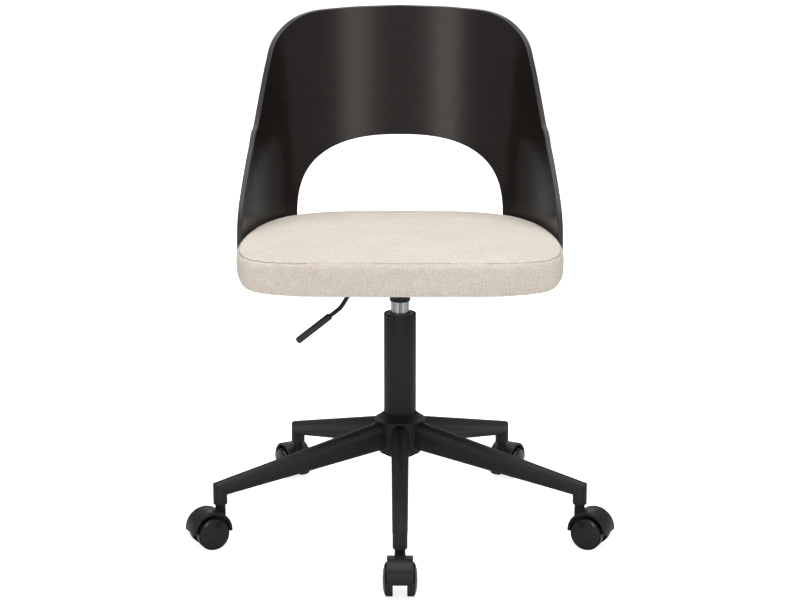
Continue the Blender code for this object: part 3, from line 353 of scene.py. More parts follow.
def shared_group(name, inputs, outputs, build):
    """A shader node group with a vector and float inputs, built on first use by build(tree, given, out)."""
    tree = bpy.data.node_groups.get(name)
    if tree:
        return tree
    tree = bpy.data.node_groups.new(name, "ShaderNodeTree")
    tree.interface.new_socket("Vector", in_out="INPUT", socket_type="NodeSocketVector")
    for label, default in inputs.items():
        socket = tree.interface.new_socket(label, in_out="INPUT", socket_type="NodeSocketFloat")
        socket.default_value = default
    for label in outputs:
        tree.interface.new_socket(label, in_out="OUTPUT", socket_type="NodeSocketFloat")
    start, end = tree.nodes.new("NodeGroupInput"), tree.nodes.new("NodeGroupOutput")
    build(tree, start.outputs, end.inputs)
    return tree


def put(tree, kind, **settings):
    made = tree.nodes.new(kind)
    for key, value in settings.items():
        if key.startswith("in_"):
            made.inputs[int(key[3:])].default_value = value
        else:
            setattr(made, key, value)
    return made


def wire(tree, source, target):
    tree.links.new(source, target)


def maths(tree, operation, a, b=None):
    """A Math node; a and b are sockets or numbers."""
    made = put(tree, "ShaderNodeMath", operation=operation)
    for index, value in enumerate((a, b)):
        if value is None:
            continue
        if isinstance(value, (int, float)):
            made.inputs[index].default_value = value
        else:
            wire(tree, value, made.inputs[index])
    return made.outputs[0]


def times(tree, a, b):
    return maths(tree, "MULTIPLY", a, b)


def plus(tree, a, b):
    return maths(tree, "ADD", a, b)


def minus(tree, a, b):
    return maths(tree, "SUBTRACT", a, b)


def sine(tree, a):
    return maths(tree, "SINE", a)


def remapped(tree, value, low, high, to_low, to_high):
    made = put(tree, "ShaderNodeMapRange", in_1=low, in_2=high, in_3=to_low, in_4=to_high)
    wire(tree, value, made.inputs[0])
    return made.outputs[0]


def noise(tree, vector, scale, detail=2.0, roughness=0.5):
    made = put(tree, "ShaderNodeTexNoise")
    made.inputs["Detail"].default_value = detail
    made.inputs["Roughness"].default_value = roughness
    if isinstance(scale, (int, float)):
        made.inputs["Scale"].default_value = scale
    else:
        wire(tree, scale, made.inputs["Scale"])
    wire(tree, vector, made.inputs["Vector"])
    return made.outputs[0]


def stretched(tree, vector, scale):
    made = put(tree, "ShaderNodeMapping")
    made.inputs["Scale"].default_value = scale
    wire(tree, vector, made.inputs["Vector"])
    return made.outputs[0]


def between(tree, share, first, second):
    """Runs from one value to another by a share."""
    mix = put(tree, "ShaderNodeMix", data_type="FLOAT")
    wire(tree, share, mix.inputs[0])
    wire(tree, first, mix.inputs[2])
    wire(tree, second, mix.inputs[3])
    return mix.outputs[0]


def sprayed_skin(tree, given, out):
    """Orange peel and faint cloudiness of a sprayed or moulded skin."""
    vector = given["Vector"]
    peel = noise(tree, vector, given["Peel Scale"], detail=3.0)
    cloud = noise(tree, vector, given["Cloud Scale"], detail=4.0)
    swing = times(tree, minus(tree, cloud, 0.5), given["Spread"])
    wire(tree, peel, out["Height"])
    wire(tree, plus(tree, given["Roughness"], swing), out["Roughness"])
    wire(tree, cloud, out["Cloud"])


def coating_group():
    inputs = {"Peel Scale": 900.0, "Cloud Scale": 18.0, "Roughness": 0.45, "Spread": 0.08}
    return shared_group("sprayed_skin", inputs, ("Height", "Roughness", "Cloud"), sprayed_skin)


def level_grain(tree, given, out):
    """Level wood grain: streaks that vary with height, and short pores between them."""
    vector = given["Vector"]
    broad = noise(tree, stretched(tree, vector, (2.2, 2.2, 95.0)), 1.0, detail=5.0, roughness=0.6)
    fine = noise(tree, stretched(tree, vector, (14.0, 14.0, 900.0)), 1.0, detail=2.0, roughness=0.7)
    streak = plus(tree, times(tree, broad, 0.65), times(tree, fine, 0.35))
    pore = noise(tree, stretched(tree, vector, (55.0, 55.0, 2600.0)), 1.0, detail=1.0)
    pore = remapped(tree, pore, 0.60, 0.72, 0.0, 1.0)
    wire(tree, times(tree, streak, given["Streaks"]), out["Streak"])
    wire(tree, times(tree, pore, given["Pores"]), out["Pore"])


def grain_group():
    inputs = {"Streaks": 1.0, "Pores": 1.0}
    return shared_group("level_grain", inputs, ("Streak", "Pore"), level_grain)


def linen_weave(tree, given, out):
    """Plain weave with uneven yarns, from a map in metres."""
    vector = given["Vector"]
    count = given["Yarns per Metre"]
    parts = put(tree, "ShaderNodeSeparateXYZ")
    wobble = noise(tree, vector, 60.0, detail=2.0)
    wire(tree, vector, parts.inputs[0])
    shift = times(tree, minus(tree, wobble, 0.5), 0.0016)
    across = times(tree, plus(tree, parts.outputs[0], shift), count)
    along = times(tree, plus(tree, parts.outputs[1], shift), count)
    waves = [sine(tree, times(tree, way, math.pi)) for way in (across, along)]
    warp, weft = (maths(tree, "ABSOLUTE", wave) for wave in waves)
    checker = times(tree, *waves)
    over = remapped(tree, checker, -0.4, 0.4, 0.0, 1.0)
    slub_across = noise(tree, stretched(tree, vector, (850.0, 60.0, 1.0)), 1.0, detail=2.0)
    slub_along = noise(tree, stretched(tree, vector, (60.0, 850.0, 1.0)), 1.0, detail=2.0)
    tone = between(tree, over, slub_across, slub_along)
    fleck = noise(tree, vector, 480.0, detail=2.0, roughness=0.6)
    slub = times(tree, tone, given["Slub"])
    yarns = plus(tree, times(tree, between(tree, over, warp, weft), 0.7), slub)
    wire(tree, plus(tree, yarns, times(tree, fleck, 3.4)), out["Height"])
    wire(tree, tone, out["Tone"])
    wire(tree, fleck, out["Fleck"])


def weave_group():
    inputs = {"Yarns per Metre": 900.0, "Slub": 0.5}
    return shared_group("linen_weave", inputs, ("Height", "Tone", "Fleck"), linen_weave)


def made_once(name):
    """Builds a material when it is first asked for, and hands out the same one after that."""

    def wrap(build):
        def finish():
            found = bpy.data.materials.get(name)
            if not found:
                found = bpy.data.materials.new(name)
                found.use_nodes = True
                build(found.node_tree, found.node_tree.nodes["Principled BSDF"])
            return found

        return finish

    return wrap


def object_place(tree):
    return put(tree, "ShaderNodeTexCoord").outputs["Object"]


def grouped(tree, group, vector, **values):
    made = put(tree, "ShaderNodeGroup", node_tree=group)
    wire(tree, vector, made.inputs["Vector"])
    for key, value in values.items():
        made.inputs[key.replace("_", " ")].default_value = value
    return made


def bumped(tree, shader, height, strength, distance):
    bump = put(tree, "ShaderNodeBump")
    bump.inputs["Strength"].default_value = strength
    bump.inputs["Distance"].default_value = distance
    wire(tree, height, bump.inputs["Height"])
    wire(tree, bump.outputs[0], shader.inputs["Normal"])


def colour_mix(tree, factor, first, second):
    """Mixes two colours, each a socket or three numbers, by a factor."""
    mix = put(tree, "ShaderNodeMix", data_type="RGBA")
    wire(tree, factor, mix.inputs[0])
    for index, shade in ((6, first), (7, second)):
        if isinstance(shade, bpy.types.NodeSocket):
            wire(tree, shade, mix.inputs[index])
        else:
            mix.inputs[index].default_value = (*shade, 1.0)
    return mix.outputs[2]


def tinted(tree, shader, factor, first, second):
    """Runs Base Color between two colours by a factor."""
    wire(tree, colour_mix(tree, factor, first, second), shader.inputs["Base Color"])


def scaled(shade, factor):
    return tuple(min(channel * factor, 1.0) for channel in shade)


def finishes():
    return bpy.context.scene.chair_finishes


def sizes():
    return bpy.context.scene.chair_sizes


# Colour, share of it, peel scale, roughness, its spread, bump, specular and metallic of each skin.
SKINS = {
    "black_powder_coat": ("steel", 1.0, 1300.0, 0.46, 0.10, 0.10, 0.25, 0.0),
    "moulded_black_nylon": ("nylon", 1.0, 2200.0, 0.38, 0.08, 0.06, 0.25, 0.0),
    "cap_nylon": ("nylon", 1.0, 2200.0, 0.40, 0.10, 0.06, 0.30, 0.0),
    "wheel_nylon": ("nylon", 0.55, 2600.0, 0.17, 0.06, 0.04, 0.42, 0.0),
    "grip_nylon": ("nylon", 3.2, 1600.0, 0.50, 0.10, 0.10, 0.25, 0.0),
    "grey_acetal": ("grey_plastic", 1.0, 1500.0, 0.42, 0.08, 0.04, 0.25, 0.0),
    "zinc_plate": ("zinc", 1.0, 1500.0, 0.34, 0.12, 0.05, 0.25, 1.0),
    "blackened_stem": ("dark_zinc", 1.0, 1500.0, 0.34, 0.10, 0.05, 0.25, 0.6),
}
SKIN_BUMP = 0.0002


def skin(name):
    """A sprayed, plated or moulded skin from the table."""
    shade, share, peel, roughness, spread, strength, specular, metallic = SKINS[name]

    @made_once(name)
    def build(tree, shader):
        coating = grouped(
            tree, coating_group(), object_place(tree), Peel_Scale=peel, Roughness=roughness, Spread=spread
        )
        shader.inputs["Metallic"].default_value = metallic
        shader.inputs["Specular IOR Level"].default_value = specular
        tint = scaled(getattr(finishes(), shade), share)
        tinted(tree, shader, coating.outputs["Cloud"], scaled(tint, 0.88), scaled(tint, 1.12))
        wire(tree, coating.outputs["Roughness"], shader.inputs["Roughness"])
        bumped(tree, shader, coating.outputs["Height"], strength, SKIN_BUMP)

    return build()


@made_once("chromed_cylinder")
def chrome_plate(tree, shader):
    """Hard chrome with the fine rings that polishing leaves round the cylinder, and dark and light upright
    streaks in its colour as painted reflections.
    """
    place = object_place(tree)
    rings = noise(tree, stretched(tree, place, (3.0, 3.0, 4200.0)), 1.0, detail=2.0)
    reflection_streaks = noise(tree, stretched(tree, place, (260.0, 260.0, 2.0)), 1.0, detail=2.0, roughness=0.6)
    shader.inputs["Metallic"].default_value = 1.0
    # Painted reflection: the colour runs from dark to light in upright streaks round the cylinder.
    tone = remapped(tree, reflection_streaks, 0.38, 0.62, 0.0, 1.0)
    tinted(tree, shader, tone, (0.26, 0.265, 0.27), (0.72, 0.73, 0.74))
    wire(tree, remapped(tree, rings, 0.3, 0.7, 0.20, 0.34), shader.inputs["Roughness"])
    bumped(tree, shader, rings, 0.05, 0.0001)


@made_once("stained_ply_face")
def stained_face(tree, shader):
    """Black stain under satin lacquer, with the level grain showing faintly."""
    place = object_place(tree)
    grain = grouped(tree, grain_group(), place)
    stain = finishes().stain
    tinted(tree, shader, grain.outputs["Streak"], scaled(stain, 0.7), scaled(stain, 1.4))
    rough = remapped(tree, grain.outputs["Streak"], 0.3, 0.7, 0.20, 0.24)
    wire(tree, rough, shader.inputs["Roughness"])
    shader.inputs["Specular IOR Level"].default_value = 0.28
    pores = times(tree, grain.outputs["Pore"], 0.35)
    height = minus(tree, times(tree, grain.outputs["Streak"], 0.4), pores)
    bumped(tree, shader, height, 0.05, 0.0003)


@made_once("stained_ply_edge")
def edge_grain_and_highlight(tree, shader):
    """The sanded edge, painted lighter than the face: partly the layers' end grain under the stain, partly a
    painted highlight for light caught along the edge.
    """
    place = object_place(tree)
    fibres = noise(tree, place, 420.0, detail=4.0, roughness=0.7)
    patches = noise(tree, place, 25.0, detail=2.0)
    # The edge colour is lighter than the stain: end grain, and in part a painted highlight.
    shade = finishes().edge_grain_and_highlight
    tone = plus(tree, times(tree, fibres, 0.6), times(tree, patches, 0.4))
    tinted(tree, shader, tone, scaled(shade, 0.6), scaled(shade, 1.4))
    wire(tree, remapped(tree, fibres, 0.3, 0.7, 0.34, 0.44), shader.inputs["Roughness"])
    bumped(tree, shader, fibres, 0.12, 0.0002)


@made_once("oatmeal_linen")
def linen(tree, shader):
    """Oatmeal linen with uneven yarns and a soft sheen, on the cover's own map in metres, with painted shade
    along the seam.
    """
    cloth_map = put(tree, "ShaderNodeUVMap", uv_map="cloth").outputs[0]
    weave = grouped(tree, weave_group(), cloth_map, Yarns_per_Metre=1.0 / sizes().thread)
    place = object_place(tree)
    patches = noise(tree, place, 14.0, detail=3.0)
    tone = plus(tree, times(tree, weave.outputs["Tone"], 0.55), times(tree, weave.outputs["Fleck"], 0.45))
    tone = plus(tree, tone, times(tree, minus(tree, patches, 0.5), 0.12))
    seam = put(tree, "ShaderNodeAttribute", attribute_name="seam").outputs["Fac"]
    tone = remapped(tree, tone, 0.36, 0.64, 0.0, 1.0)
    # Painted shade: the cloth is painted up to 40% darker along the seam's groove.
    tone = times(tree, tone, minus(tree, 1.0, times(tree, seam, 0.4)))
    tinted(tree, shader, tone, finishes().linen_dark, finishes().linen_light)
    shader.inputs["Roughness"].default_value = 0.92
    shader.inputs["Specular IOR Level"].default_value = 0.25
    shader.inputs["Sheen Weight"].default_value = 0.12
    shader.inputs["Sheen Roughness"].default_value = 0.5
    bumped(tree, shader, weave.outputs["Height"], 0.9, 0.0009)


@made_once("backing_cloth")
def backing_cloth(tree, shader):
    """Thin pressed fibre cloth under the seat."""
    place = object_place(tree)
    fibres = noise(tree, place, 900.0, detail=5.0, roughness=0.7)
    dots = put(tree, "ShaderNodeTexVoronoi")
    dots.inputs["Scale"].default_value = 450.0
    wire(tree, place, dots.inputs["Vector"])
    tinted(tree, shader, fibres, (0.012, 0.012, 0.012), (0.035, 0.035, 0.035))
    shader.inputs["Roughness"].default_value = 0.95
    bumped(tree, shader, plus(tree, fibres, dots.outputs["Distance"]), 0.3, 0.0003)


@made_once("wrapped_birch_ply")
def wrapped_birch(tree, shader):
    """Birch board with the seat cloth drawn round its lower edge: level layers above, linen below."""
    place = object_place(tree)
    parts = put(tree, "ShaderNodeSeparateXYZ")
    wire(tree, place, parts.inputs[0])
    height, layer_pair = parts.outputs["Z"], 0.0028
    layers = sine(tree, times(tree, height, 2 * math.pi / layer_pair))
    figure = noise(tree, stretched(tree, place, (6.0, 90.0, 90.0)), 1.0, detail=4.0)
    tone = plus(tree, times(tree, layers, 0.2), figure)
    shade = finishes().bare_ply
    wood = colour_mix(tree, tone, scaled(shade, 0.7), scaled(shade, 1.2))
    weave = grouped(tree, weave_group(), place, Yarns_per_Metre=1.0 / sizes().thread)
    cloth = colour_mix(tree, weave.outputs["Fleck"], finishes().linen_dark, finishes().linen_light)
    hem, blend = 0.008, 0.0005
    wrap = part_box("seat_board")[0].z + hem
    lower = remapped(tree, height, wrap - blend, wrap, 1.0, 0.0)
    tinted(tree, shader, lower, wood, cloth)
    shader.inputs["Roughness"].default_value = 0.85
    bumped(tree, shader, figure, 0.15, 0.0003)


# Column and base.


def radius_of(node):
    low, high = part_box(node)
    return (high.x - low.x) / 2


class CHAIR_OT_base(bpy.types.Operator):
    """Builds the hub ring, the sloping hub cover and the five oval legs"""

    bl_idname = "chair.base"
    bl_label = "Star base"

    def execute(self, context):
        low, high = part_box("base_hub")
        outer = radius_of("base_hub")
        bore = radius_of("column_tube") + RUNNING_GAP
        edge = sizes().steel_edge
        rows = [(bore, low.z), (outer - 3 * edge, low.z), (outer - edge, low.z + edge)]
        rows += [(outer, low.z + 3 * edge), (outer, high.z), (bore, high.z), (bore, low.z)]
        lathed("hub_ring", rows, "base", "frame_steel", skin("black_powder_coat"), "base_hub", 35.0)

        low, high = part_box("hub_cover")
        outer = radius_of("hub_cover")
        inside, lip, rim = bore + RUNNING_GAP, bore + 0.0015, bore + 0.0009
        skirt, shoulder, rise, drop = low.z + 0.0014, 0.0032, 0.0024, 0.0004
        rows = [(inside, low.z), (outer - edge, low.z), (outer, low.z + edge), (outer, skirt)]
        rows += quarter_round(outer, skirt, shoulder, rise, 6)[1:]
        rows += [(lip, high.z - drop), (rim, high.z), (inside, high.z - edge), (inside, low.z)]
        lathed("hub_dome", rows, "base", "nylon", skin("cap_nylon"), "hub_cover")

        for number in range(1, 6):
            node, steel = f"base_leg_{number}", skin("black_powder_coat")
            refined(node, f"star_leg_{number}", "base", "frame_steel", steel, 0.0012, 3, 38.0, 32.0)
        return {"FINISHED"}


class CHAIR_OT_column(bpy.types.Operator):
    """Builds the column tube, its guide sleeve and bearing, and the rod hung in it"""

    bl_idname = "chair.column"
    bl_label = "Column"

    def execute(self, context):
        low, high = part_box("column_tube")
        outer = radius_of("column_tube")
        wall, plate, rim, chamfer = 0.0020, 0.003, 0.0011, 0.0004
        hole = radius_of("thrust_bearing") / 2
        bore = outer - wall
        rows = [(hole, low.z), (outer - rim, low.z), (outer, low.z + rim), (outer, high.z - rim)]
        rows += quarter_round(outer, high.z - rim, rim, rim, 4)[1:]
        floor = low.z + plate
        rows += [(bore + chamfer, high.z), (bore, high.z - chamfer), (bore, floor)]
        rows += [(hole, floor), (hole, low.z)]
        lathed("column_sleeve", rows, "base", "frame_steel", skin("black_powder_coat"), "column_tube")

        low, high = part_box("guide_sleeve")
        outer = radius_of("guide_sleeve")
        bore = radius_of("gas_cylinder") + RUNNING_GAP
        chamfer, funnel = 0.0005, 0.0012
        rows = [(bore, low.z), (outer, low.z), (outer, high.z - chamfer), (outer - chamfer, high.z)]
        rows += [(bore + funnel, high.z), (bore, high.z - funnel), (bore, low.z)]
        lathed("column_bushing", rows, "base", "acetal", skin("grey_acetal"), "guide_sleeve")
        repaint("thrust_bearing", skin("zinc_plate"))
        repaint("piston_rod", chrome_plate())
        refined("rod_clip", "spring_clip", "spindle", "zinc", skin("zinc_plate"), 0.0003, 1)
        return {"FINISHED"}


class CHAIR_OT_gas_lift(bpy.types.Operator):
    """Builds the chromed cylinder and the black socket that holds its taper"""

    bl_idname = "chair.gas_lift"
    bl_label = "Gas lift"

    def execute(self, context):
        low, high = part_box("gas_cylinder")
        outer = radius_of("gas_cylinder")
        taper_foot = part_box("taper_socket")[0].z
        wall, taper, foot_chamfer, chamfer = 0.0020, 0.0009, 0.0004, 0.0005
        bore, neck = outer - wall, outer - taper
        valve = radius_of("valve_button") + RUNNING_GAP
        valve_foot, roof, spring_line = high.z - 0.014, high.z - 0.016, high.z - 0.0235
        rows = [(bore, low.z), (outer - foot_chamfer, low.z)]
        rows += [(outer, low.z + foot_chamfer), (outer, taper_foot)]
        rows += [(neck, high.z - chamfer), (neck - chamfer, high.z), (valve, high.z), (valve, valve_foot)]
        rows += [(bore * 0.5, roof), (bore, spring_line), (bore, low.z)]
        lathed("chromed_lift", rows, "seat", "chrome", chrome_plate(), "gas_cylinder", 40.0)
        repaint("rod_gland", skin("grey_acetal"))

        low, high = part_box("taper_socket")
        outer = radius_of("taper_socket")
        bore = radius_of("gas_cylinder")
        rows = [(bore + RUNNING_GAP, low.z), (outer - chamfer, low.z), (outer, low.z + chamfer)]
        rows += [(outer, high.z - chamfer), (outer - chamfer, high.z)]
        rows += [(bore - RUNNING_GAP, high.z), (bore + RUNNING_GAP, low.z)]
        lathed("cone_socket", rows, "seat", "frame_steel", skin("black_powder_coat"), "taper_socket")

        low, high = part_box("valve_button")
        radius = radius_of("valve_button")
        dome, rise = 0.0010, 0.0008
        rows = [(0.0, low.z), (radius, low.z)]
        rows += quarter_round(radius, high.z - rise, dome, rise, 3)
        rows += [(0.0, high.z)]
        lathed("release_pin", rows, "button", "zinc", skin("zinc_plate"), "valve_button", steps=32)
        return {"FINISHED"}


class CHAIR_OT_mechanism(bpy.types.Operator):
    """Builds the lift housing, the seat plate with its screws, and the lever's pin"""

    bl_idname = "chair.mechanism"
    bl_label = "Seat mechanism"

    def execute(self, context):
        pressings = (("lift_housing", "lift_channel", 0.0009), ("seat_plate", "seat_bracket", 0.0006))
        for node, name, width in pressings:
            refined(node, name, "seat", "frame_steel", skin("black_powder_coat"), width, soft_angle=50.0)
        for number in range(1, 5):
            node = f"plate_screw_{number}"
            screw = merged_copy(node, f"pan_screw_{number}")
            smooth(screw, 50.0)
            low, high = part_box(node)
            nothing_selected()
            middle = (low + high) / 2
            wide, narrow, deep, lift = 0.0022, 0.0008, 0.0028, 0.0010
            bpy.ops.mesh.primitive_cone_add(
                vertices=4, radius1=wide, radius2=narrow, depth=deep, location=(*middle.xy, low.z + lift)
            )
            cut_away(screw, bpy.context.object)
            dressed(smooth(screw, 40.0), "seat", "zinc", skin("zinc_plate"), node)
        repaint("lever_pin", skin("zinc_plate"))
        return {"FINISHED"}


class CHAIR_OT_lever(bpy.types.Operator):
    """Builds the bent lever and its grip"""

    bl_idname = "chair.lever"
    bl_label = "Hand lever"

    def execute(self, context):
        refined("lever_rod", "lever_bar", "lever", "frame_steel", skin("black_powder_coat"), angle=50.0)
        grip = merged_copy("lever_grip", "lever_handle")
        modified(grip, "SUBSURF", levels=1, render_levels=1, subdivision_type="SIMPLE")
        smooth(grip, 50.0)
        dressed(grip, "lever", "nylon", skin("grip_nylon"), "lever_grip")
        return {"FINISHED"}


# Seat.


def cover_start():
    """The cushion's solid with an even skin, ready to fill."""
    cushion = merged_copy("seat_cushion", "box_cushion")
    modified(cushion, "REMESH", mode="VOXEL", voxel_size=sizes().cushion_voxel, use_smooth_shade=True)
    return cushion


def held_points(cushion, board_low, board_high):
    """Weights that hold the underside and the recess round the board, and leave the cover free above."""
    margin, hem, roof = 0.002, 0.006, 0.004
    weights = []
    for vertex in cushion.data.vertices:
        x, y, z = vertex.co
        inside = board_low.x - margin < x < board_high.x + margin
        inside = inside and board_low.y - margin < y < board_high.y + margin
        held = z < board_low.z + hem or inside and z < board_high.z + roof
        weights.append(1.0 if held else 0.0)
    return weights


def evened(mesh, moved, rounds):
    """Spreads the movement of each point over its neighbours, which takes out creases of the simulation."""
    edges = np.array([edge.vertices[:] for edge in mesh.edges])
    count = np.bincount(edges.ravel(), minlength=len(moved))[:, None]
    for _ in range(rounds):
        total = np.zeros_like(moved)
        for near, far in ((0, 1), (1, 0)):
            for axis in range(3):
                total[:, axis] += np.bincount(edges[:, near], moved[edges[:, far], axis], len(moved))
        moved = 0.5 * moved + 0.5 * total / count
    return moved


COVER_CLOTH = {
    "quality": 6,
    "mass": 0.25,
    "tension_stiffness": 30.0,
    "compression_stiffness": 30.0,
    "shear_stiffness": 12.0,
    "bending_stiffness": 2.0,
    "use_pressure": True,
    "uniform_pressure_force": 4.0,
    "vertex_group_mass": "held",
    "shrink_min": 0.0,
}
FILLING_FRAMES = 20
EVENING_ROUNDS = 30
STILL = 1e-9


def filled(cushion):
    """Lets the cover swell under pressure, then caps how far each point may have moved."""
    board_low, board_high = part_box("seat_board")
    rest = np.array([vertex.co for vertex in cushion.data.vertices])
    group = cushion.vertex_groups.new(name="held")
    for index, weight in enumerate(held_points(cushion, board_low, board_high)):
        if weight:
            group.add([index], weight, "REPLACE")
    only(cushion)
    cloth = cushion.modifiers.new("cover", "CLOTH")
    for key, value in COVER_CLOTH.items():
        setattr(cloth.settings, key, value)
    cloth.settings.effector_weights.gravity = 0.0
    cloth.collision_settings.use_collision = False
    cloth.point_cache.frame_start = 1
    cloth.point_cache.frame_end = FILLING_FRAMES
    scene = bpy.context.scene
    for moment in range(1, FILLING_FRAMES + 1):
        scene.frame_set(moment)
    graph = bpy.context.evaluated_depsgraph_get()
    swollen = cushion.evaluated_get(graph).data
    moved = evened(cushion.data, np.array([vertex.co for vertex in swollen.vertices]) - rest, EVENING_ROUNDS)
    cushion.modifiers.remove(cloth)
    scene.frame_set(1)
    cushion.vertex_groups.clear()
    reach = np.linalg.norm(moved, axis=1)
    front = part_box("seat_cushion")[0].y
    shell_start, fade, shell_level, firmness = 0.06, 0.08, 0.475, 0.75
    beside_shell = np.clip((rest[:, 1] - front - shell_start) / fade, 0.0, 1.0) * (rest[:, 2] < shell_level)
    cap = sizes().cushion_cap * (1.0 - firmness * beside_shell)
    allowed = np.minimum(reach, cap * np.tanh(reach / cap))
    keep = np.where(reach > STILL, allowed / np.maximum(reach, STILL), 0.0)
    cushion.data.vertices.foreach_set("co", (rest + moved * keep[:, None]).astype(np.float32).ravel())
    cushion.data.update()
    return cushion


def wrapped_under(cushion):
    """Draws the cover's lower edge down and its sides in, so that it wraps the board and hides it."""
    level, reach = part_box("seat_board")[1].z + 0.012, 0.026
    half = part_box("seat_cushion")[1].x
    fade, taper = 0.40, 0.018
    for vertex in cushion.data.vertices:
        share = ramp(level - vertex.co.z, 0.0, reach)
        side = abs(vertex.co.x) / half
        vertex.co.z -= sizes().cushion_wrap * eased(share) * ramp(1.0 - side, 0.0, fade)
        vertex.co.x *= 1.0 - taper * share * share * side**6
    return cushion


def seam_plane():
    """A point and normal of the tilted plane in which the seam lies."""
    front_z, rear_z = 0.4695, 0.4610
    low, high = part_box("seat_cushion")
    slope = (rear_z - front_z) / (high.y - low.y)
    return Vector((0.0, low.y, front_z)), Vector((0.0, -slope, 1.0)).normalized()


def seamed(cushion):
    """Sews the fine seam round the top edge: a cut in the skin, spread and drawn in."""
    point, normal = seam_plane()
    editing(cushion)
    bpy.ops.mesh.bisect(plane_co=point, plane_no=normal, threshold=ON_PLANE)
    bpy.ops.mesh.select_mode(type="EDGE")
    shape = bmesh.from_edit_mesh(cushion.data)
    cut_width = 2e-5
    for edge in shape.edges:
        edge.select = all(abs((vertex.co - point).dot(normal)) < cut_width for vertex in edge.verts)
    shape.select_flush_mode()
    bmesh.update_edit_mesh(cushion.data)
    bpy.ops.mesh.bevel(offset=sizes().seam_width / 2, segments=2, affect="EDGES", clamp_overlap=True)
    bpy.ops.mesh.select_all(action="DESELECT")
    done_editing()
    # Marks the seam's points, where the linen is painted darker as painted shade in the groove.
    marks = cushion.data.attributes.new("seam", "FLOAT", "POINT")
    values = np.zeros(len(cushion.data.vertices))
    for vertex in cushion.data.vertices:
        height = abs((vertex.co - point).dot(normal))
        if height < sizes().seam_width * 0.2:
            values[vertex.index] = 1.0
            vertex.co -= vertex.normal * sizes().seam_depth
    marks.data.foreach_set("value", values.astype(np.float32))
    return cushion


def mapped_cloth(cushion):
    """Lays the cloth's own map on the cover, in metres."""
    while cushion.data.uv_layers:
        cushion.data.uv_layers.remove(cushion.data.uv_layers[0])
    cushion.data.uv_layers.new(name="cloth")
    editing(cushion)
    bpy.ops.uv.cube_project(cube_size=1.0, correct_aspect=False, scale_to_bounds=False)
    done_editing()
    return cushion


class CHAIR_OT_cushion(bpy.types.Operator):
    """Builds the padded box cushion in linen"""

    bl_idname = "chair.cushion"
    bl_label = "Cushion"

    def execute(self, context):
        cushion = cover_start()
        filled(cushion)
        smoothing_rounds, draw_in, push_out = 5, 0.5, -0.34
        for _ in range(smoothing_rounds):
            modified(cushion, "SMOOTH", factor=draw_in, iterations=1)
            modified(cushion, "SMOOTH", factor=push_out, iterations=1)
        wrapped_under(cushion)
        modified(cushion, "SUBSURF", levels=1, render_levels=1)
        seamed(cushion)
        mapped_cloth(cushion)
        only(cushion)
        bpy.ops.object.shade_smooth()
        dressed(cushion, "seat", "linen", linen(), "seat_cushion")
        return {"FINISHED"}


class CHAIR_OT_board(bpy.types.Operator):
    """Finishes the seat board and the backing cloth under it"""

    bl_idname = "chair.board"
    bl_label = "Seat board"

    def execute(self, context):
        repaint("seat_board", wrapped_birch())
        refined("dust_cover", "underside_cloth", "seat", "backing_cloth", backing_cloth(), angle=50.0)
        return {"FINISHED"}


# Back.


def bolt_axis(number):
    """A wing bolt's middle, its axis out of the shell, and its points' places along and off that axis."""
    points = np.array([vertex.co for vertex in frame["nodes"][f"back_bolt_{number}"].data.vertices])
    middle = points.mean(axis=0)
    direction = np.linalg.svd(points - middle)[2][0]
    reach = (points - middle) @ direction
    across = np.linalg.norm((points - middle) - reach[:, None] * direction, axis=1)
    if reach[across.argmax()] < 0:
        direction, reach = -direction, -reach
    return Vector(middle), Vector(direction), reach, across


def without_bolt_holes(shell):
    """Closes the bolt holes, which the bolts and the seat hide, so that the sheet bends smoothly there."""
    editing(shell, "DESELECT")
    shape = bmesh.from_edit_mesh(shell.data)
    around, deep = 0.0040, 0.040
    for number in range(1, 5):
        point, axis = bolt_axis(number)[:2]
        for vertex in shape.verts:
            offset = vertex.co - point
            along = offset.dot(axis)
            if (offset - axis * along).length < around and abs(along) < deep:
                vertex.select = True
    shape.select_flush_mode()
    bmesh.update_edit_mesh(shell.data)
    bpy.ops.mesh.delete(type="VERT")
    bpy.ops.mesh.select_mode(type="VERT")
    bpy.ops.mesh.select_non_manifold()
    bpy.ops.mesh.fill_holes(sides=0)
    bpy.ops.mesh.select_all(action="SELECT")
    bpy.ops.mesh.normals_make_consistent(inside=False)
    done_editing()
    return shell


def edge_faces_marked(shell, second_slot):
    """Puts the narrow faces between the sheet's two sides in the second material slot."""
    editing(shell, "DESELECT")
    bpy.ops.mesh.select_mode(type="FACE")
    shape = bmesh.from_edit_mesh(shell.data)
    beside, above_arch, below_top = 0.03, 0.62, 0.75
    middle = [face for face in shape.faces if abs(face.calc_center_median().x) < beside]
    middle = [face for face in middle if above_arch < face.calc_center_median().z < below_top]
    front = min(middle, key=lambda face: face.normal.y)
    rear = max(middle, key=lambda face: face.normal.y)
    front.select = rear.select = True
    bmesh.update_edit_mesh(shell.data)
    bpy.ops.mesh.faces_select_linked_flat(sharpness=math.radians(28.0))
    bpy.ops.mesh.select_all(action="INVERT")
    shell.active_material_index = second_slot
    bpy.ops.object.material_slot_assign()
    done_editing()
    return shell


def rims_creased(shell):
    """Creases the lines along the rims, so that they stay narrow when the sheet is smoothed."""
    editing(shell, "DESELECT")
    bpy.ops.mesh.select_mode(type="EDGE")
    bpy.ops.mesh.edges_select_sharp(sharpness=math.radians(25.0))
    bpy.ops.transform.edge_crease(value=1.0)
    done_editing()
    return shell


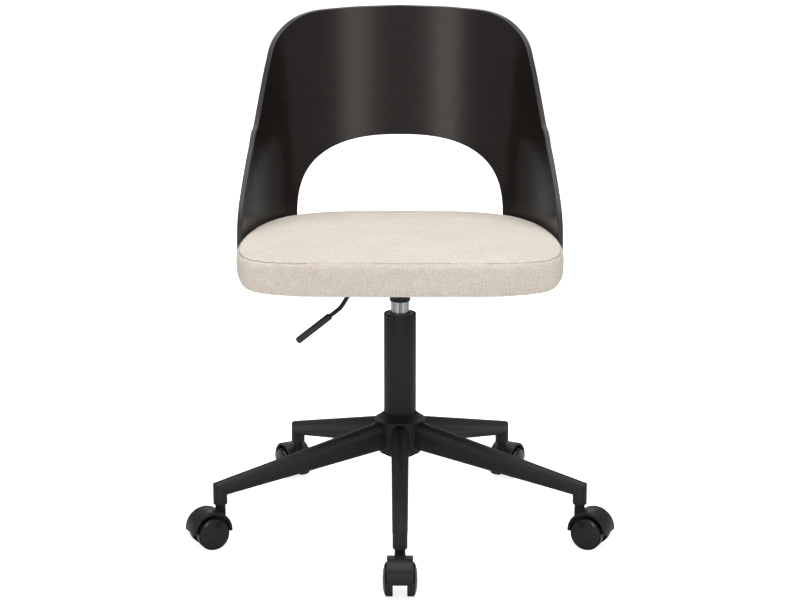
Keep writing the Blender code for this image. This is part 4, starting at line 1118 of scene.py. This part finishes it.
def smoothed_through(piece, levels):
    """Subdivides a piece so that the smooth surface runs through its own points and doesn't shrink."""
    only(piece)
    change = piece.modifiers.new("smoothed", "SUBSURF")
    change.levels = change.render_levels = levels
    target = np.array([vertex.co for vertex in piece.data.vertices])
    cage = target.copy()
    rounds = 5
    for _ in range(rounds):
        graph = bpy.context.evaluated_depsgraph_get()
        reached = piece.evaluated_get(graph).data.vertices
        cage += target - np.array([reached[index].co for index in range(len(target))])
        piece.data.vertices.foreach_set("co", cage.astype(np.float32).ravel())
        piece.data.update()
    bpy.ops.object.modifier_apply(modifier=change.name)
    return piece


def bowed(shell):
    """Draws the sides of the back's middle forward, so that it is hollow from side to side as bent ply is."""
    bow, hollow, fade = sizes().back_bow, 0.120, 0.085
    for vertex in shell.data.vertices:
        span = abs(vertex.co.x)
        if span < hollow:
            vertex.co.y -= bow * (1 - (1 - (span / hollow) ** 2) ** 2)
        else:
            vertex.co.y -= bow * (1 - eased(ramp(span, hollow, fade)))
    return shell


def outline_eased(shell):
    """Fills the upper corners a little and lets the top line fall sooner towards them."""
    edge, wider, much_wider, corner, corner_length = 0.20, 0.0013, 0.0020, 0.742, 0.032
    lower, shoulder, shoulder_length = 0.0020, 0.140, 0.070
    for vertex in shell.data.vertices:
        x, z = vertex.co.x, vertex.co.z
        reach = ramp(abs(x), 0.0, edge) ** 4 * ramp(z, 0.585, 0.035)
        vertex.co.x += math.copysign(reach * (wider + much_wider * hump(z, corner, corner_length)), x)
        vertex.co.z -= lower * hump(abs(x), shoulder, shoulder_length) * ramp(z, 0.60, 0.18)
    return shell


class CHAIR_OT_back(bpy.types.Operator):
    """Builds the bent plywood back"""

    bl_idname = "chair.back"
    bl_label = "Back shell"

    def execute(self, context):
        shell = joined_copy("back_shell", "bent_back")
        without_bolt_holes(shell)
        editing(shell)
        bpy.ops.mesh.tris_convert_to_quads(
            face_threshold=math.radians(30.0), shape_threshold=math.radians(120.0)
        )
        done_editing()
        shell.data.materials.append(stained_face())
        shell.data.materials.append(edge_grain_and_highlight())
        edge_faces_marked(shell, 1)
        rims_creased(shell)
        smoothed_through(shell, 2)
        bowed(shell)
        outline_eased(shell)
        smooth(shell, 35.0)
        dressed(shell, "seat", "black_ply", stained_face(), "back_shell")
        return {"FINISHED"}


class CHAIR_OT_bolts(bpy.types.Operator):
    """Builds the four button-head bolts of the back, each with its hexagon recess"""

    bl_idname = "chair.bolts"
    bl_label = "Wing bolts"

    def execute(self, context):
        reach, across = bolt_axis(1)[2:]
        head = float(across.max())
        top, tip = float(reach.max()), float(reach.min())
        seat = float(reach[across > head * 0.98].min())
        shank, brim = 0.0030, seat + 0.0004
        rows = [(0.0, tip), (shank, tip), (shank, seat), (head, seat)]
        rows += quarter_round(head, brim, head * 0.55, top - brim, 6)
        rows += [(0.0, top)]
        pattern = turned("bolt_pattern", rows, 48)
        nothing_selected()
        hexagon, sunk = 0.0023, 0.0030
        bpy.ops.mesh.primitive_cylinder_add(vertices=6, radius=hexagon, depth=sunk, location=(0, 0, top))
        cut_away(pattern, bpy.context.object)
        smooth(pattern, 40.0)
        for number in range(1, 5):
            point, axis = bolt_axis(number)[:2]
            turn = Vector((0, 0, 1)).rotation_difference(axis).to_matrix().to_4x4()
            bolt = twin(pattern, f"wing_bolt_{number}", Matrix.Translation(point) @ turn)
            dressed(bolt, "seat", "frame_steel", skin("black_powder_coat"), f"back_bolt_{number}")
        bpy.data.objects.remove(pattern)
        return {"FINISHED"}


# Casters.


def joint(name):
    return next(entry for entry in frame["joints"] if entry["name"] == name)


def caster_place(number):
    """The matrix that carries a caster drawn with its stem on Z and its trail along +X to its leg."""
    stem = Vector(joint(f"caster_{number}_swivel")["pos_m"])
    axle = Vector(joint(f"caster_{number}_roll_left")["pos_m"])
    trail = axle - stem
    heading = math.atan2(trail.y, trail.x)
    return Matrix.Translation((stem.x, stem.y, 0.0)) @ Matrix.Rotation(heading, 4, "Z")


def wheel_pattern(trail, axle_height):
    """A wheel on the +Y side: a tread and a domed face with a fine groove near its rim."""
    radius = axle_height
    inner, edge, top = 0.0104, 0.0195, 0.0255
    bore = 0.0033
    bore_end, web = 0.0208, inner + 0.0012
    rows = [(0.0, bore_end), (bore, bore_end), (bore, inner), (radius * 0.60, inner), (radius * 0.64, web)]
    rows += [(radius * 0.84, web), (radius * 0.88, inner), (radius - 0.0008, inner)]
    rows += [(radius, inner + 0.0008), (radius, edge - 0.0010)]
    for step in range(1, 13):
        angle = math.pi / 2 * (1 - step / 12)
        across, rise = radius * math.sin(angle), (top - edge) * math.cos(angle)
        if step == 2:
            face = edge + rise
            rows += [(across + 0.0009, face - 0.0001), (across + 0.0004, face - 0.0010)]
            rows += [(across - 0.0002, face - 0.0010), (across - 0.0007, face + 0.0002)]
        elif step < 12:
            rows.append((across, edge + rise))
    rows.append((0.0, top))
    wheel = turned("wheel_pattern", rows, 72)
    turn = Matrix.Translation((trail, 0.0, axle_height)) @ Matrix.Rotation(-math.pi / 2, 4, "X")
    return smooth(placed(wheel, turn), 30.0)


def ringed(radius, low, high, count):
    """Rows of a drum with shallow grooves between its rings."""
    groove = 0.0008
    pitch = (high - low) / count
    rows = []
    for ring in range(count):
        start = low + ring * pitch
        rows += [(radius - groove, start), (radius, start + groove), (radius, start + pitch - groove)]
        rows += [(radius - groove, start + pitch - 0.0001)]
    return rows


def drum(name, radius, half, place, steps):
    """A plain drum along Y, to start a shape or to cut with."""
    nothing_selected()
    bpy.ops.mesh.primitive_cylinder_add(
        vertices=steps, radius=radius, depth=2 * half, location=place, rotation=(math.pi / 2, 0.0, 0.0)
    )
    made = bpy.context.object
    made.name = name
    return settle(made)


def hood_pattern(trail, axle_height):
    """The hood: an arched drum trimmed below, with a neck, an axle boss and a pocket for each wheel."""
    radius = 0.0313
    half = 0.0190
    wall = 0.0040
    web = 0.0100
    arch_height = axle_height + 0.0031
    hood = drum("hood_pattern", radius, half, (trail, 0.0, arch_height), 96)

    def around(height, degrees, reach):
        angle = math.radians(degrees)
        return Vector((trail + reach * math.cos(angle), 0.0, height + reach * math.sin(angle)))

    boss = 0.0066
    inner = (around(arch_height, 183.0, radius), around(axle_height, 205.0, boss))
    outer = (around(axle_height, 335.0, boss), around(arch_height, -3.0, radius))
    for rim, near in (inner, outer):
        along = (near - rim).normalized()
        up = Vector((-along.z, 0.0, along.x))
        editing(hood)
        bpy.ops.mesh.bisect(plane_co=rim, plane_no=up, use_fill=True, clear_inner=True, threshold=ON_PLANE)
        done_editing()
    fused(hood, drum("boss", boss, half, (trail, 0.0, axle_height), 48))
    neck, neck_foot, neck_top = 0.0082, 0.027, 0.0580
    rows = [(0.0, neck_foot), (neck, neck_foot)] + ringed(neck, 0.0462, neck_top, 4) + [(0.0, neck_top)]
    fused(hood, turned("neck", rows, 48))
    softened(hood, 0.0009, segments=2, angle=60.0)
    for side in (-1, 1):
        place = (trail, side * (web + half), arch_height)
        cut_away(hood, drum("pocket", radius - wall, half, place, 96))
    cut_away(hood, drum("axle_hole", 0.0033, 2 * half, (trail, 0.0, axle_height), 32))
    nothing_selected()
    socket_radius, socket_floor, depth = 0.0058, 0.0332, 0.060
    bpy.ops.mesh.primitive_cylinder_add(
        vertices=32, radius=socket_radius, depth=depth, location=(0, 0, socket_floor + depth / 2)
    )
    cut_away(hood, bpy.context.object)
    return smooth(hood, 30.0)


class CHAIR_OT_casters(bpy.types.Operator):
    """Builds the five casters: hood, stem with its collar, and two wheels each"""

    bl_idname = "chair.casters"
    bl_label = "Casters"

    def execute(self, context):
        stem_at = Vector(joint("caster_1_swivel")["pos_m"])
        axle_at = Vector(joint("caster_1_roll_left")["pos_m"])
        trail = (axle_at - stem_at).xy.length
        height = axle_at.z
        wheel = wheel_pattern(trail, height)
        hood = hood_pattern(trail, height)
        low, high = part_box("caster_1_stem")
        pin, collar = 0.0055, radius_of("caster_1_stem")
        foot, shoulder = 0.0583, 0.0647
        rows = [(0.0, low.z), (pin, low.z), (pin, foot)] + ringed(collar, foot, shoulder, 2)
        rows += [(pin, shoulder), (pin, high.z - 0.0008)]
        rows += [(pin - 0.0008, high.z), (0.0, high.z)]
        stem = smooth(turned("stem_pattern", rows, 48), 40.0)
        for number in range(1, 6):
            place = caster_place(number)
            body = f"caster_{number}"
            piece = twin(hood, f"hood_{number}", place)
            dressed(piece, body, "nylon", skin("moulded_black_nylon"), f"{body}_hood")
            piece = twin(stem, f"stem_{number}", place)
            dressed(piece, body, "zinc", skin("blackened_stem"), f"{body}_stem")
            repaint(f"{body}_axle", skin("zinc_plate"))
            for side, word in ((1, "left"), (-1, "right")):
                carry = place @ Matrix.Diagonal((1, side, 1, 1))
                piece = twin(wheel, f"wheel_{number}_{word}", carry)
                if side < 0:
                    tidy_mesh(piece)
                smooth(piece, 30.0)
                dressed(piece, f"wheel_{number}_{word}", "nylon", skin("wheel_nylon"), f"{body}_wheel_{word}")
        for pattern in (wheel, hood, stem):
            bpy.data.objects.remove(pattern)
        return {"FINISHED"}


# Stage.


WHITE = (1.0, 1.0, 1.0, 1.0)
WARM = (1.0, 0.93, 0.89)
COOL = (0.95, 0.98, 1.0)
FRONT_GLOW, REAR_GLOW = 0.48, 0.22


def area_light(name, place, target, width, height, power, tone=WHITE[:3]):
    """A soft rectangular lamp that faces a point."""
    nothing_selected()
    bpy.ops.object.light_add(type="AREA", location=place)
    lamp = bpy.context.object
    lamp.name = name
    lamp.data.shape = "RECTANGLE"
    lamp.data.size, lamp.data.size_y = width, height
    lamp.data.energy = power
    lamp.data.color = tone
    lamp.rotation_euler = (Vector(target) - Vector(place)).to_track_quat("-Z", "Y").to_euler()
    return lamp


@made_once("studio_floor")
def floor_paint(tree, shader):
    """White paint that the camera sees as pure white, and that glossy reflections see darker."""
    shader.inputs["Roughness"].default_value = 0.9
    shader.inputs["Specular IOR Level"].default_value = 0.1
    shader.inputs["Emission Color"].default_value = WHITE
    path = put(tree, "ShaderNodeLightPath")
    wire(tree, times(tree, path.outputs["Is Camera Ray"], 0.80), shader.inputs["Emission Strength"])
    tinted(tree, shader, path.outputs["Is Glossy Ray"], finishes().floor, scaled(finishes().floor, 0.62))


def studio_world():
    """White to the camera, and a dim glow to the chair that is stronger from the front."""
    world = bpy.data.worlds.new("studio")
    world.use_nodes = True
    tree = world.node_tree
    sky = tree.nodes["Background"]
    sky.inputs[0].default_value = WHITE
    seen = put(tree, "ShaderNodeLightPath").outputs["Is Camera Ray"]
    parts = put(tree, "ShaderNodeSeparateXYZ")
    wire(tree, put(tree, "ShaderNodeTexCoord").outputs["Generated"], parts.inputs[0])
    glow = remapped(tree, parts.outputs[1], -0.1, 0.6, FRONT_GLOW, REAR_GLOW)
    wire(tree, maths(tree, "MAXIMUM", glow, seen), sky.inputs[1])
    return world


class CHAIR_OT_stage(bpy.types.Operator):
    """Builds the pale floor, the studio lamps and the camera"""

    bl_idname = "chair.stage"
    bl_label = "Studio"

    def execute(self, context):
        scene = bpy.context.scene
        nothing_selected()
        bpy.ops.mesh.primitive_grid_add(x_subdivisions=2, y_subdivisions=2, size=60.0, location=(0, 0, 0))
        floor = bpy.context.object
        floor.name = "studio_floor"
        floor.data.materials.append(floor_paint())

        scene.world = studio_world()
        scene.view_settings.view_transform = "Standard"

        centre = Vector((0.0, COLUMN.y + 0.15, 0.68))
        area_light("left_softbox", (-1.02, -3.6, 1.45), centre, 0.74, 1.5, 13.3, WARM)
        area_light("right_softbox", (0.97, -3.6, 1.45), centre, 0.74, 1.5, 12.0, WARM)
        area_light("overhead", (0.0, COLUMN.y, 3.2), (0.0, COLUMN.y, 0.0), 4.0, 4.0, 118.0, COOL)
        area_light("rear_softbox", (0.0, 4.0, 2.3), centre, 2.4, 0.9, 16.0)

        bpy.ops.object.camera_add(
            location=(0.0, COLUMN.y - sizes().camera_distance, sizes().camera_height),
            rotation=(math.pi / 2 - sizes().camera_tilt, 0.0, 0.0),
        )
        camera = bpy.context.object
        camera.name = "photo_camera"
        camera.data.lens = sizes().camera_lens
        camera.data.sensor_width = 36.0
        scene.camera = camera
        return {"FINISHED"}


OPERATORS = (
    CHAIR_OT_base,
    CHAIR_OT_column,
    CHAIR_OT_gas_lift,
    CHAIR_OT_mechanism,
    CHAIR_OT_lever,
    CHAIR_OT_cushion,
    CHAIR_OT_board,
    CHAIR_OT_back,
    CHAIR_OT_bolts,
    CHAIR_OT_casters,
    CHAIR_OT_stage,
)


class CHAIR_PT_panel(bpy.types.Panel):
    """Lists the steps that dress the chair"""

    bl_idname = "CHAIR_PT_panel"
    bl_label = "Office Chair"
    bl_space_type = "VIEW_3D"
    bl_region_type = "UI"
    bl_category = "Chair"

    def draw(self, context):
        layout = self.layout
        for group in (context.scene.chair_sizes, context.scene.chair_finishes):
            box = layout.box()
            for key in group.bl_rna.properties.keys():
                if key not in ("rna_type", "name"):
                    box.prop(group, key)
        for operator in OPERATORS:
            layout.operator(operator.bl_idname)


CLASSES = (ChairFinishes, ChairSizes, *OPERATORS, CHAIR_PT_panel)


def register():
    for entry in CLASSES:
        bpy.utils.register_class(entry)
    bpy.types.Scene.chair_finishes = PointerProperty(type=ChairFinishes)
    bpy.types.Scene.chair_sizes = PointerProperty(type=ChairSizes)


def unregister():
    del bpy.types.Scene.chair_sizes
    del bpy.types.Scene.chair_finishes
    for entry in reversed(CLASSES):
        bpy.utils.unregister_class(entry)


def main():
    register()
    bpy.ops.chair.stage()
    bpy.ops.chair.base()
    bpy.ops.chair.column()
    bpy.ops.chair.gas_lift()
    bpy.ops.chair.mechanism()
    bpy.ops.chair.lever()
    bpy.ops.chair.board()
    bpy.ops.chair.cushion()
    bpy.ops.chair.back()
    bpy.ops.chair.bolts()
    bpy.ops.chair.casters()
    nothing_selected()


if __name__ == "__main__":
    main()
